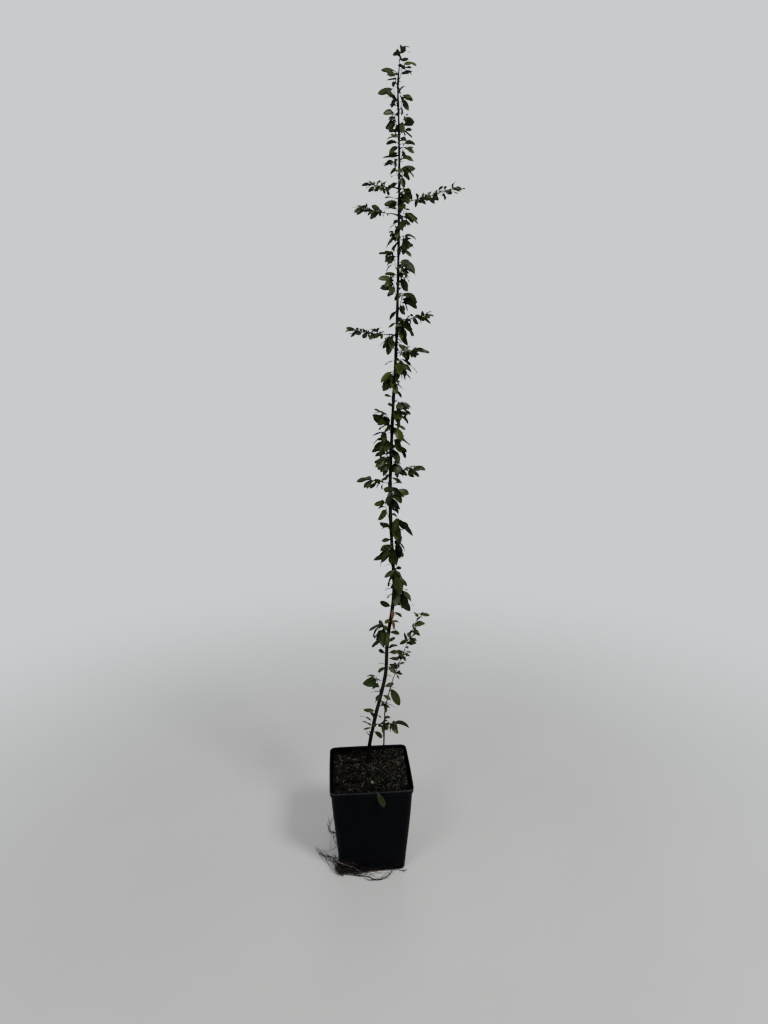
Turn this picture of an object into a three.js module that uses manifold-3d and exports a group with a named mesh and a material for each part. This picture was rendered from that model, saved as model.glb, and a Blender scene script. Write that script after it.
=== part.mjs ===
// A young firethorn grown as one tall leader, in its square black nursery pot.
//
// Millimetres. The origin is the middle of the pot's flat underside. +Z is up, +X is to the right
// and -Y is the front. The pot is filled with compost, and the leader and a thin second stem rise
// from it. Short spurs stand round the leader, each with a tuft of leaves, and five longer side
// boughs end in a leafy shoot. Every bough, tuft and shoot is a solid of its own.
//
// Directions: an azimuth of 0 points right (+X), 90 to the back (+Y), 180 left and 270 to the
// front. A rise or pitch is in degrees above the level.

import * as THREE from "three";
import { mergeVertices } from "three/addons/utils/BufferGeometryUtils.js";
import Module from "manifold-3d";

const wasm = await Module();
wasm.setup();

// ---------------------------------------------------------------- driving dimensions

const GAP = 0.3; // air between a piece and the neighbour that carries it
const MERGE = 1e-4; // corners closer together than this are one
const FINEST = 6e-4; // an edge shorter than this is too fine to keep

const POT = {
  height: 134.6,
  foot: 96, // side of the square underside
  underBand: 117.6, // side of the wall just under the rim band
  rim: 121.6, // side of the rim band at the top
  band: 8, // height of the rim band
  step: 1.2, // height over which the wall steps out to the band
  wall: 1.8,
  floor: 2.4,
  corner: 0.085, // corner radius as a share of the side
  cornerSteps: 3,
  drainRadius: 4.5,
  drainPlace: 33, // drain holes at plus and minus this in X and Y
};

const COMPOST = { top: 126, foot: POT.floor + GAP };

// Centre line and radius of the leader at a few heights: [height, x, y, radius]. It leaves the
// compost behind the pot's middle with a small root flare, leans forward to the middle, and then
// rises nearly plumb to a thin tip.
const LEADER = [
  [COMPOST.top + GAP, -1, 27, 5.2],
  [138, -0.5, 24, 3.4],
  [166, 1, 15, 2.95],
  [220, 10, 2, 2.9],
  [283, 24.5, 0, 2.85],
  [336, 28, 0, 2.85],
  [388, 36.2, 1, 2.85],
  [420, 38.8, 2, 2.85],
  [479, 35.8, 2, 2.8],
  [560, 33.5, 1, 2.65],
  [670, 38, 0, 2.4],
  [772, 43.7, -1, 2.1],
  [870, 46.6, 0, 1.85],
  [960, 48.5, 1, 1.65],
  [1043, 48.3, 0, 1.45],
  [1090, 47.3, 0, 1.25],
  [1119, 49.3, 0, 0.9],
];
const LEADER_STEPS = 44;
const LEADER_SIDES = 7;
const FOOT_CROWDING = 0.28; // a stem's sections stand closer together near its foot

// The pruned end of an old stem, cut off flat where it forked from the leader.
const STUB = { height: 214, azimuth: 192, length: 11, radius: 2.1, tip: 2.3, rise: 58, sides: 6 };

const SECOND_STEM = [
  [COMPOST.top + GAP, 22.5, 41, 1.9],
  [150, 24, 38, 1.3],
  [213, 26, 29, 1.1],
  [240, 31.5, 25.5, 1.0],
  [262, 37, 22.5, 0.95],
];
const SECOND_STEPS = 10;
const SECOND_SIDES = 6;

// Side boughs on the leader: where they start, which way they go, their bare length, and then
// the leafy shoot that goes on from the tip: its length, number of leaves and longest leaf.
const BOUGHS = [
  { name: "upper_left", height: 967, azimuth: 176, rise: 7, length: 10, shoot: 25, leaves: 26, leaf: 14 },
  { name: "upper_right", height: 948, azimuth: 354, rise: 13, length: 12, shoot: 62, leaves: 31, leaf: 14 },
  { name: "lower_left", height: 933, azimuth: 186, rise: 8, length: 11, shoot: 40, leaves: 21, leaf: 13 },
  { name: "middle_right", height: 795, azimuth: 8, rise: 11, length: 10, shoot: 27, leaves: 23, leaf: 14 },
  { name: "middle_left", height: 776, azimuth: 172, rise: 5, length: 11, shoot: 45, leaves: 31, leaf: 13 },
];
const BOUGH = { root: 1.3, tip: 0.8, bend: 3, steps: 5, sides: 5 };
const BOUGH_SHOOT = { bend: 0.04, pitch: -6, fan: 115, small: 11, large: 16 };

// Tufts on the leader, from the top down:
// [height, azimuth, length of the stem, pitch of the leaves, number of leaves, longest leaf]
const TUFTS = [
  [1102, 352, 16, -10, 3, 19],
  [1095, 186, 16, -5, 2, 17],
  [1072, 172, 17, -15, 2, 22],
  [1064, 345, 17, -25, 4, 15],
  [1040, 200, 19, -15, 4, 17],
  [1034, 338, 19, -30, 4, 17],
  [1012, 250, 19, -25, 4, 20],
  [1004, 10, 19, -5, 4, 16],
  [984, 172, 19, 5, 5, 17],
  [973, 318, 19, -45, 5, 23],
  [949, 35, 19, -40, 8, 21],
  [932, 250, 19, -10, 5, 18],
  [919, 338, 19, -45, 5, 28],
  [900, 228, 19, -35, 4, 19],
  [886, 12, 20, -15, 7, 19],
  [865, 186, 20, -10, 6, 24],
  [856, 334, 19, -50, 9, 26],
  [846, 346, 19, -40, 8, 28],
  [830, 186, 21, -5, 9, 20],
  [812, 334, 19, -35, 7, 26],
  [778, 338, 19, -42, 10, 36],
  [758, 198, 19, -35, 10, 31],
  [752, 4, 26, -15, 17, 20],
  [724, 336, 19, -38, 12, 32],
  [708, 245, 19, -40, 10, 25],
  [664, 352, 21, -30, 12, 22],
  [646, 180, 22, 0, 9, 18],
  [621, 196, 22, -15, 11, 21],
  [615, 20, 19, -30, 9, 26],
  [592, 230, 21, -20, 9, 23],
  [587, 4, 30, -15, 18, 20],
  [571, 180, 28, -10, 12, 18],
  [546, 310, 19, -30, 9, 20],
  [523, 196, 19, -5, 2, 18],
  [501, 334, 19, -45, 8, 36],
  [472, 350, 19, -45, 7, 28],
  [463, 225, 19, -20, 9, 20],
  [430, 280, 17, -65, 7, 40],
  [402, 336, 16, -50, 9, 36],
  [346, 188, 17, -25, 10, 24],
  [260, 180, 20, 0, 3, 15],
  [203, 342, 26, -12, 11, 27],
];

// A stem that is longer than this is a side shoot and branches. A shorter one is a spur, which
// stands up close to the leader.
const SHORT = 23;

// How each kind of stem stands, with its leaves: how far they fan out to each side of the stem's
// azimuth, and the smallest and largest of them after the first.
const SPUR = { rise: 78, bend: 0.1, fan: 96, small: 14, large: 20 };
const SHOOT = { rise: 6, bend: 0.1, fan: 90, small: 13, large: 20 };

// A spur's leaves are larger by this for each millimetre that it stands below the leader's tip.
const LARGER = { small: 0.008, large: 0.015 };

// The leafy shoot that goes on from the top of the second stem.
const SECOND_SHOOT = {
  azimuth: 344,
  rise: 70,
  length: 122,
  bend: -0.03,
  pitch: -5,
  leaves: 32,
  leaf: 17,
  fan: 160,
  small: 12,
  large: 18,
};

// The last shoot of the leader, which carries its top leaves.
const TIP_SHOOT = {
  azimuth: 20,
  rise: 84,
  length: 20,
  bend: 0,
  pitch: 10,
  leaves: 7,
  leaf: 14,
  fan: 165,
  small: 11,
  large: 15,
};

// A shoot from the compost that arches forward over the rim: its leaves are given one by one as
// [place along it, azimuth, pitch, roll, length].
const LOW_SHOOT = {
  foot: [8, -26],
  over: [6, -63.5],
  above: 3.4, // height of its end over the rim
  arch: 9,
  steps: 5,
  leaves: [
    [1, 355, -65, 65, 27],
    [0.45, 0, 68, 50, 16],
  ],
};

// How a stem branches into twigs. Degrees and millimetres.
const TWIG = {
  root: 0.85,
  tip: 0.6,
  sides: 3,
  step: 18, // one step of the solid for each such length of a stem
  spacing: 13, // one side twig for each such length of a shoot
  length: 6,
  shortest: 0.75, // shortest and longest side twig as shares of the length
  longest: 1.25,
  spread: 52, // side twigs turn this far from the stem, to the right and left in turn
  lift: 16, // and rise this far more, or a share of it less
  drop: -0.6,
  follow: 0.4, // share of the stem's own rise that they keep
  wander: 12, // and they wander this far
  bend: 0.1, // a side twig's tip is lifted by this share of its length
};
const SEED = 7919; // each tuft's draws start from its own multiple of this
const LEAF = {
  widthShare: 0.4, // widest width as a share of the length
  thickShare: 0.035,
  sunk: 0.4, // how far the leaf's root lies past the middle of its twig
  jitter: 34, // leaves tip up to this far from the mean pitch
  roll: 80, // and turn this far round their own midrib
  tries: 20,
  golden: 137.5, // turn from one leaf to the next
  retry: 61, // further turn for each new try
  outer: 0.98, // place of the outermost leaf on its twig, and the stretch over which they spread
  stretch: 0.86,
  sideOuter: 0.96, // the same for side twigs, with the step to the next leaf
  sideStep: 0.28,
  corners: 5, // corners of its outline; the first is its root and the opposite side its blunt tip
  swell: 0.6, // below 1 this carries the widest part out towards the tip
};

// Clearances that the growth keeps, between sample points on the leaves and twigs.
const CLEAR = { otherTuft: 3.4, sameTuft: 1.7, limb: 1.2, wall: 3 };

// Fine roots that have grown out under the pot's edge. Most lie on the level it stands on, and
// two climb its front corner on the left. Each is a list of places along the strand: [x, y], or
// [x, y, height] where it climbs.
const BESIDE = POT.foot / 2 + 1.2; // middle of a strand that lies along the pot's foot
const FLOOR_ROOTS = {
  radius: 0.7,
  thinning: 0.45, // share of the radius lost by the strand's end
  steps: 2, // steps for each stretch between two places
  strands: [
    [[-BESIDE, -30], [-BESIDE, -41], [-47.5, -47.5], [-40, -BESIDE], [20, -BESIDE], [38, -BESIDE]],
    [[-32, -BESIDE], [-24, -55.5], [-9, -60], [5, -68], [14, -65], [22, -60.5], [26.5, -55], [27, -BESIDE]],
    [[-BESIDE, -29.4], [-60, -17], [-71, -12], [-78, -3], [-86, 7]],
    [[-BESIDE, -30.7], [-57, -26], [-69, -17], [-81, -4]],
    [[-BESIDE, -29], [-50.5, 5], [-55, 38], [-63, 42], [-65, 51], [-62, 65], [-57, 77]],
    [[37, -BESIDE], [46, -52.5], [52, -49]],
    [[-BESIDE, -30], [-52, -39, 7], [-51, -51, 10], [-37, -52.8, 9], [-20, -52.4, 5], [-4, -BESIDE, 0.8]],
    [[-60, -17], [-56, -34, 14], [-51.3, -51.3, 20.5], [-35, -53, 15], [-25, -53, 10], [-9, -60, 0.8]],
  ],
};

// ---------------------------------------------------------------- small helpers

const radians = THREE.MathUtils.degToRad;

// A seeded stream of draws between two limits.
function draws(seed) {
  let state = seed >>> 0;
  return (low, high) => {
    state = (Math.imul(state, 1664525) + 1013904223) >>> 0;
    return low + ((high - low) * state) / 4294967296;
  };
}

function heading(azimuth, rise) {
  const level = Math.cos(radians(rise));
  return new THREE.Vector3(
    level * Math.cos(radians(azimuth)),
    level * Math.sin(radians(azimuth)),
    Math.sin(radians(rise)),
  );
}

// The station of a stem at one height: [height, x, y, radius], by a cubic through the listed ones.
function stationAt(stations, height) {
  const last = stations.length - 2;
  let k = 0;
  while (k < last && height > stations[k + 1][0]) k += 1;
  const slope = (i, c) => {
    const before = stations[Math.max(i - 1, 0)];
    const after = stations[Math.min(i + 1, stations.length - 1)];
    return (after[c] - before[c]) / (after[0] - before[0]);
  };
  const [low, high] = [stations[k], stations[k + 1]];
  const span = high[0] - low[0];
  const t = Math.min(Math.max((height - low[0]) / span, 0), 1);
  const cubic = (c) =>
    (1 + 2 * t) * (1 - t) ** 2 * low[c] +
    t * (1 - t) ** 2 * span * slope(k, c) +
    t * t * (3 - 2 * t) * high[c] +
    t * t * (t - 1) * span * slope(k + 1, c);
  return [height, cubic(1), cubic(2), cubic(3)];
}

function asSolid(geometry) {
  geometry.deleteAttribute("normal");
  geometry.deleteAttribute("uv");
  const merged = mergeVertices(geometry, MERGE);
  return new wasm.Manifold(
    new wasm.Mesh({
      numProp: 3,
      vertProperties: new Float32Array(merged.getAttribute("position").array),
      triVerts: new Uint32Array(merged.getIndex().array),
    }),
  );
}

function asGeometry(solid) {
  const mesh = solid.getMesh();
  const geometry = new THREE.BufferGeometry();
  geometry.setAttribute("position", new THREE.BufferAttribute(mesh.vertProperties, 3));
  geometry.setIndex(new THREE.BufferAttribute(mesh.triVerts, 1));
  geometry.computeVertexNormals();
  return geometry;
}

// The length of a solid's shortest edge.
function shortestEdge(solid) {
  const { vertProperties, triVerts } = solid.getMesh();
  let shortest = Infinity;
  triVerts.forEach((corner, i) => {
    const next = triVerts[i % 3 === 2 ? i - 2 : i + 1];
    const [x, y, z] = [0, 1, 2].map((c) => vertProperties[3 * corner + c] - vertProperties[3 * next + c]);
    shortest = Math.min(shortest, Math.hypot(x, y, z));
  });
  return shortest;
}

const joined = (solids) => solids.reduce((whole, next) => whole.add(next));

// The largest body of a joined solid: loose scraps are dropped and sealed hollows are filled.
const larger = (a, b) => (b.volume() > a.volume() ? b : a);
const largest = (solid) => solid.decompose().reduce(larger);

// ---------------------------------------------------------------- limbs and leaves

// A tapering limb: a cylinder bent along centre(t), with radius(t), for t from 0 to 1. Its
// sections are square to its run, or all level, so that a stem has a level cut at its foot.
function limb(centre, radius, sides, steps, level = false) {
  const geometry = new THREE.CylinderGeometry(1, 1, 1, sides, steps);
  const place = geometry.getAttribute("position");
  const run = centre(1).sub(centre(0));
  const steep = Math.abs(run.z) > Math.hypot(run.x, run.y);
  const across = steep ? new THREE.Vector3(0, 1, 0) : new THREE.Vector3(0, 0, 1);
  for (let i = 0; i < place.count; i += 1) {
    const t = place.getY(i) + 0.5;
    const ahead = level
      ? new THREE.Vector3(0, 0, 1)
      : centre(Math.min(t + 0.01, 1)).sub(centre(Math.max(t - 0.01, 0))).normalize();
    const side = new THREE.Vector3().crossVectors(ahead, across).normalize();
    const up = new THREE.Vector3().crossVectors(side, ahead);
    const point = centre(t)
      .addScaledVector(side, radius(t) * place.getX(i))
      .addScaledVector(up, radius(t) * place.getZ(i));
    place.setXYZ(i, point.x, point.y, point.z);
  }
  return asSolid(geometry);
}

// A stem that follows its stations from its lowest to its highest one.
function stem(stations, sides, steps) {
  const [low, high] = [stations[0][0], stations[stations.length - 1][0]];
  const heightAt = (t) => low + (high - low) * t * (1 - FOOT_CROWDING * (1 - t));
  const at = (t) => stationAt(stations, heightAt(t));
  return limb((t) => new THREE.Vector3(at(t)[1], at(t)[2], at(t)[0]), (t) => at(t)[3], sides, steps, true);
}

// A twig's centre line: straight from its root, and lifted at its tip by a share of its length.
function twigLine(root, azimuth, rise, length, bend) {
  const along = heading(azimuth, rise);
  return (t) => {
    const point = root.clone().addScaledVector(along, length * t);
    point.z += bend * length * t * t;
    return point;
  };
}

// A place on a leaf: along is 0 at its root and 1 at its tip, and across runs from -1 to 1.
function leafPlace(leaf, along, across) {
  return leaf.root
    .clone()
    .addScaledVector(leaf.ahead, along * leaf.length)
    .addScaledVector(leaf.side, across * leaf.length * LEAF.widthShare * 0.5);
}

// A leaf is a flat double pyramid on an outline of a few corners, with its root well inside its twig.
function leafSolid(leaf) {
  const geometry = new THREE.SphereGeometry(1, LEAF.corners, 2);
  const place = geometry.getAttribute("position");
  const reach = leaf.length + LEAF.sunk;
  const start = leaf.root.clone().addScaledVector(leaf.ahead, -LEAF.sunk);
  const widest = Math.sin(radians(360 / LEAF.corners));
  const farthest = Math.cos(radians(180 / LEAF.corners));
  for (let i = 0; i < place.count; i += 1) {
    const along = reach * ((1 + place.getX(i)) / (1 + farthest)) ** LEAF.swell;
    const point = start
      .clone()
      .addScaledVector(leaf.ahead, along)
      .addScaledVector(leaf.side, (-place.getZ(i) / widest) * 0.5 * leaf.length * LEAF.widthShare)
      .addScaledVector(leaf.face, place.getY(i) * 0.5 * leaf.length * LEAF.thickShare);
    place.setXYZ(i, point.x, point.y, point.z);
  }
  return asSolid(geometry);
}

// ---------------------------------------------------------------- the growth rule

// Every point that grown leaves and twigs pass through: {x, y, z, tuft}.
const grown = [];

const keep = (points, tuft) => points.forEach(({ x, y, z }) => grown.push({ x, y, z, tuft }));

const mainLine = ({ root, azimuth, rise, length, bend }) => twigLine(root, azimuth, rise, length, bend);

function nearGrown(points, tuft) {
  for (const p of points) {
    for (const q of grown) {
      const room = q.tuft === tuft ? CLEAR.sameTuft : CLEAR.otherTuft;
      if ((p.x - q.x) ** 2 + (p.y - q.y) ** 2 + (p.z - q.z) ** 2 < room * room) return true;
    }
  }
  return false;
}

// Bare limbs that leaves keep off: the two stems by their stations, the boughs by points.
const boughPoints = [];

function touchesLimb(points) {
  for (const p of points) {
    for (const stations of [LEADER, SECOND_STEM]) {
      if (p.z < stations[stations.length - 1][0] + 2) {
        const [, x, y, radius] = stationAt(stations, p.z);
        if (Math.hypot(p.x - x, p.y - y) < radius + CLEAR.limb) return true;
      }
    }
    for (const q of boughPoints) {
      if (p.distanceTo(q) < BOUGH.root + CLEAR.limb) return true;
    }
    const half = POT.rim / 2 + CLEAR.wall;
    if (p.z < POT.height + CLEAR.wall && Math.abs(p.x) < half && Math.abs(p.y) < half) return true;
  }
  return false;
}

const TWIG_SAMPLES = [0.04, 0.12, 0.2, 0.28, 0.36, 0.44, 0.52, 0.6, 0.68, 0.76, 0.84, 0.92, 1];

// Points over a leaf, from a third of its length to its tip.
function leafPoints(leaf) {
  const points = [];
  for (const along of [0.3, 0.44, 0.58, 0.72, 0.86, 1]) {
    const half = along === 1 ? 0.5 : 0.9;
    for (const across of [-half, 0, half]) points.push(leafPlace(leaf, along, across));
  }
  return points;
}

function leafFrame(root, azimuth, pitch, roll, length) {
  const ahead = heading(azimuth, pitch);
  const level = heading(azimuth + 90, 0);
  const face = new THREE.Vector3().crossVectors(ahead, level);
  const side = level.multiplyScalar(Math.cos(radians(roll))).addScaledVector(face, Math.sin(radians(roll)));
  return { root, ahead, side, face: new THREE.Vector3().crossVectors(ahead, side), length };
}

// Grows one tuft or shoot: a stem, twigs on alternate sides of it, and leaves that fan out from
// the tips and along the twigs. A leaf that would come near another tuft or a limb turns to a new
// place, and is skipped after a few tries.
function grow(tuft) {
  const { number, azimuth, rise, length, pitch, leaves, leaf, fan, small, large } = tuft;
  const draw = draws(SEED * (number + 1));
  const main = mainLine(tuft);
  const twigs = [{ line: main, root: TWIG.root, tip: TWIG.tip, steps: Math.ceil(length / TWIG.step) }];
  const count = length > SHORT ? Math.round(length / TWIG.spacing) : 0;
  for (let k = 0; k < count; k += 1) {
    const t = (k + 0.7) / (count + 0.3);
    const turn = (k % 2 ? -1 : 1) * (TWIG.spread + draw(-TWIG.wander, TWIG.wander));
    const side = TWIG.length * draw(TWIG.shortest, TWIG.longest);
    const lift = rise * TWIG.follow + TWIG.lift * (k % 2 ? TWIG.drop : 1) + draw(-TWIG.wander, TWIG.wander);
    const line = twigLine(main(t), azimuth + turn, lift, side, TWIG.bend);
    const samples = [0.6, 1].map(line);
    if (touchesLimb(samples) || nearGrown(samples, number)) continue;
    twigs.push({ line, root: (TWIG.root + TWIG.tip) / 2, tip: TWIG.tip, steps: 1 });
  }
  for (const twig of twigs.slice(1)) keep(TWIG_SAMPLES.map(twig.line), number);
  const blades = [];
  for (let k = 0; k < leaves; k += 1) {
    // Every other leaf of a branched shoot goes to its side twigs in turn.
    const onSide = twigs.length > 1 && k % 2 === 1;
    const turn = (k - 1) / 2;
    const twig = onSide ? twigs[1 + (turn % (twigs.length - 1))] : twigs[0];
    const rank = Math.floor(turn / (twigs.length - 1)) % 3;
    const t = onSide ? LEAF.sideOuter - LEAF.sideStep * rank : LEAF.outer - (LEAF.stretch * k) / leaves;
    const size = k === 0 ? leaf : draw(small, large);
    for (let attempt = 0; attempt < LEAF.tries; attempt += 1) {
      const turned = ((k * LEAF.golden + attempt * LEAF.retry) % (2 * fan)) - fan;
      const swing = k === 0 && attempt === 0 ? 0 : turned;
      const tilt = pitch + (k === 0 ? 0 : draw(-LEAF.jitter, LEAF.jitter));
      const blade = leafFrame(twig.line(t), azimuth + swing, tilt, draw(-LEAF.roll, LEAF.roll), size);
      const samples = leafPoints(blade);
      if (touchesLimb(samples) || nearGrown(samples, number)) continue;
      blades.push(blade);
      keep(samples, number);
      break;
    }
  }
  return { twigs, blades };
}

// The one solid of a tuft. A twig or leaf whose joint would be too fine to keep is left out.
function tuftSolid({ twigs, blades }) {
  const wood = twigs.map(({ line, root, tip, steps }) =>
    limb(line, (t) => root + (tip - root) * t, TWIG.sides, steps),
  );
  const whole = [...wood, ...blades.map(leafSolid)].reduce((solid, next) => {
    const fuller = solid.add(next);
    return shortestEdge(fuller) > FINEST ? fuller : solid;
  });
  return largest(whole);
}

// A tuft's root stands clear of the stem that carries it, on the side that it faces.
function rootOn(stations, height, azimuth, rise) {
  const [, x, y, radius] = stationAt(stations, height);
  const away = radius + GAP + TWIG.root * (Math.sin(radians(Math.abs(rise))) + 0.02);
  return new THREE.Vector3(x, y, height).addScaledVector(heading(azimuth, 0), away);
}

// ---------------------------------------------------------------- pot and compost

// A rounded square carried up through stations of [height, side].
function squareLoft(stations) {
  const r = POT.corner;
  const outline = new THREE.Shape();
  outline.absarc(0.5 - r, 0.5 - r, r, 0, Math.PI / 2);
  outline.absarc(r - 0.5, 0.5 - r, r, Math.PI / 2, Math.PI);
  outline.absarc(r - 0.5, r - 0.5, r, Math.PI, 1.5 * Math.PI);
  outline.absarc(0.5 - r, r - 0.5, r, 1.5 * Math.PI, 2 * Math.PI);
  outline.closePath();
  const geometry = new THREE.ExtrudeGeometry(outline, {
    depth: 1,
    steps: stations.length - 1,
    bevelEnabled: false,
    curveSegments: POT.cornerSteps,
  });
  const place = geometry.getAttribute("position");
  for (let i = 0; i < place.count; i += 1) {
    const [height, side] = stations[Math.round(place.getZ(i) * (stations.length - 1))];
    place.setXYZ(i, place.getX(i) * side, place.getY(i) * side, height);
  }
  return asSolid(geometry);
}

// The side of the pot's wall at one height, from its foot to the rim band.
const wallSide = (height) => POT.foot + ((POT.underBand - POT.foot) * height) / (POT.height - POT.band);

function potSolid() {
  const bandFoot = POT.height - POT.band;
  const outside = squareLoft([
    [0, POT.foot],
    [bandFoot, POT.underBand],
    [bandFoot + POT.step, POT.rim - 1],
    [POT.height, POT.rim],
  ]);
  const inside = squareLoft([
    [POT.floor, wallSide(POT.floor) - 2 * POT.wall],
    [bandFoot, POT.underBand - 2 * POT.wall],
    [POT.height + 1, POT.rim - 2 * POT.wall],
  ]);
  const holes = [];
  for (const x of [-POT.drainPlace, POT.drainPlace]) {
    for (const y of [-POT.drainPlace, POT.drainPlace]) {
      const hole = new THREE.CylinderGeometry(POT.drainRadius, POT.drainRadius, 4 * POT.floor, 8);
      hole.rotateX(Math.PI / 2).translate(x, y, POT.floor / 2);
      holes.push(asSolid(hole));
    }
  }
  return outside.subtract(inside).subtract(joined(holes));
}

function compostSolid() {
  const sideAt = (height) => wallSide(height) - 2 * POT.wall - 2 * GAP;
  return squareLoft([
    [COMPOST.foot, sideAt(COMPOST.foot)],
    [COMPOST.top, sideAt(COMPOST.top)],
  ]);
}

// ---------------------------------------------------------------- stems, boughs and roots

function boughLine(bough) {
  const [, x, y, radius] = stationAt(LEADER, bough.height);
  const away = radius + GAP + BOUGH.root * Math.sin(radians(bough.rise)) + 0.15;
  const root = new THREE.Vector3(x, y, bough.height).addScaledVector(heading(bough.azimuth, 0), away);
  const along = heading(bough.azimuth, bough.rise);
  return (t) => {
    const point = root.clone().addScaledVector(along, bough.length * t);
    point.z += BOUGH.bend * t * (1 - t);
    return point;
  };
}

const boughRadius = (t) => BOUGH.root + (BOUGH.tip - BOUGH.root) * t;
const boughSolid = (line) => limb(line, boughRadius, BOUGH.sides, BOUGH.steps);

function leaderSolid() {
  const [, x, y] = stationAt(LEADER, STUB.height);
  const out = twigLine(new THREE.Vector3(x, y, STUB.height), STUB.azimuth, STUB.rise, STUB.length, 0);
  const stub = limb(out, (t) => STUB.radius + (STUB.tip - STUB.radius) * t, STUB.sides, 1);
  return stem(LEADER, LEADER_SIDES, LEADER_STEPS).add(stub);
}

function floorRoots() {
  const strands = FLOOR_ROOTS.strands.map((places) => {
    const points = places.map(([x, y, height = FLOOR_ROOTS.radius]) => new THREE.Vector3(x, y, height));
    const curve = new THREE.CatmullRomCurve3(points);
    return limb(
      (t) => curve.getPoint(t),
      (t) => FLOOR_ROOTS.radius * (1 - FLOOR_ROOTS.thinning * t),
      TWIG.sides,
      FLOOR_ROOTS.steps * (places.length - 1),
    );
  });
  return joined(strands);
}

function lowShoot(number) {
  const root = new THREE.Vector3(...LOW_SHOOT.foot, COMPOST.top + GAP + TWIG.root);
  const over = new THREE.Vector3(...LOW_SHOOT.over, POT.height + LOW_SHOOT.above);
  const line = (t) => {
    const point = root.clone().lerp(over, t);
    point.z += LOW_SHOOT.arch * t * (1 - t);
    return point;
  };
  const blades = LOW_SHOOT.leaves.map(([t, azimuth, pitch, roll, length]) =>
    leafFrame(line(t), azimuth, pitch, roll, length),
  );
  keep(TWIG_SAMPLES.map(line), number);
  return { twigs: [{ line, root: TWIG.root, tip: TWIG.tip, steps: LOW_SHOOT.steps }], blades };
}

// ---------------------------------------------------------------- materials and assembly

const finish = (color, roughness) => new THREE.MeshStandardMaterial({ color, roughness, metalness: 0 });

const finishes = {
  pot: finish(0x0b0d10, 0.5),
  compost: finish(0x15110c, 0.95),
  bark: finish(0x1c1813, 0.75),
  twig: finish(0x2b2018, 0.75),
  leaf: finish(0x2c3a1d, 0.5),
  root: finish(0x33241b, 0.85),
};

const shrub = new THREE.Group();

function place(name, solid, material) {
  const mesh = new THREE.Mesh(asGeometry(solid), material.clone());
  mesh.name = name;
  shrub.add(mesh);
}

place("pot", potSolid(), finishes.pot);
place("compost", compostSolid(), finishes.compost);
place("main_stem", leaderSolid(), finishes.bark);
place("second_stem", stem(SECOND_STEM, SECOND_SIDES, SECOND_STEPS), finishes.bark);
place("floor_roots", floorRoots(), finishes.root);

const boughLines = BOUGHS.map(boughLine);
for (const line of boughLines) {
  for (let t = 0; t <= 1; t += 0.1) boughPoints.push(line(t));
}

// All tufts and shoots in the order that they grow.
const tufts = [];

BOUGHS.forEach((bough, k) => {
  place(`${bough.name}_bough`, boughSolid(boughLines[k]), finishes.twig);
  const root = boughLines[k](1).addScaledVector(heading(bough.azimuth, bough.rise), GAP + 0.1);
  const name = `${bough.name}_leaves`;
  const { azimuth, rise, shoot, leaves, leaf } = bough;
  tufts.push({ name, root, azimuth, rise, length: shoot, leaves, leaf, ...BOUGH_SHOOT });
});

const tip = LEADER[LEADER.length - 1];
const tipPlace = new THREE.Vector3(tip[1], tip[2], tip[0] + GAP);
tufts.push({ name: "tip_leaves", root: tipPlace, ...TIP_SHOOT });

const top = SECOND_STEM[SECOND_STEM.length - 1];
const topPlace = new THREE.Vector3(top[1], top[2], top[0] + GAP + TWIG.root * 0.6);
tufts.push({ name: "second_stem_leaves", root: topPlace, ...SECOND_SHOOT });

TUFTS.forEach(([height, azimuth, length, pitch, leaves, leaf], k) => {
  const kind = length > SHORT ? { ...SHOOT } : { ...SPUR };
  if (length <= SHORT) {
    kind.small += LARGER.small * (tip[0] - height);
    kind.large += LARGER.large * (tip[0] - height);
  }
  const root = rootOn(LEADER, height, azimuth, kind.rise);
  const name = `leader_leaves_${String(k + 1).padStart(2, "0")}`;
  tufts.push({ name, root, azimuth, length, pitch, leaves, leaf, ...kind });
});

// Every stem is there before the first leaf, so that no leaf grows where a later stem runs.
tufts.forEach((tuft, number) => keep(TWIG_SAMPLES.map(mainLine(tuft)), number));
tufts.forEach((tuft, number) => {
  place(tuft.name, tuftSolid(grow({ ...tuft, number })), finishes.leaf);
});
place("low_shoot_leaves", tuftSolid(lowShoot(tufts.length)), finishes.leaf);

export default shrub;
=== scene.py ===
"""The looks of a young firethorn in its square black nursery pot.

Lengths in the tables are in millimetres, as a nursery gives them, and MM turns them into the
metres of the frame. The origin is under the middle of the pot, Z is up and -Y is the front. The
stems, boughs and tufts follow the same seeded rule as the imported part, and fine twigs, smaller
leaves and thorns grow on from it. Degrees: an azimuth of 0 points right (+X) and 90 to the back.
"""

import itertools
import math

import bpy
import numpy as np
from mathutils import Matrix, Vector


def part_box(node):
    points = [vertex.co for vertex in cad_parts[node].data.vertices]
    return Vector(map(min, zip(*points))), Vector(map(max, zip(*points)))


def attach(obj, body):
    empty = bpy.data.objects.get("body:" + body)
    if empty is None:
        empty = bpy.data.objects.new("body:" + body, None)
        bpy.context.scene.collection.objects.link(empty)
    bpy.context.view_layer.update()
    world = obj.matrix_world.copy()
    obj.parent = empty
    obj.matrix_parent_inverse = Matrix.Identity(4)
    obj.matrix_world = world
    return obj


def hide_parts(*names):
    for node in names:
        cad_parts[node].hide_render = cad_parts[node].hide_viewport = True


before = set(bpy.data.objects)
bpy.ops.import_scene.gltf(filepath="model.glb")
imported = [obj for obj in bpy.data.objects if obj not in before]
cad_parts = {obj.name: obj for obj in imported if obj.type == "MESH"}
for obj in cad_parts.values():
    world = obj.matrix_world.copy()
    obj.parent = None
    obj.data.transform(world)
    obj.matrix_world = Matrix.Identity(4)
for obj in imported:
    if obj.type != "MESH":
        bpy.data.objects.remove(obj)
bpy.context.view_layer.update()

MM = 0.001
BODY = "root"

# ---- sizes of the plant and pot

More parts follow.
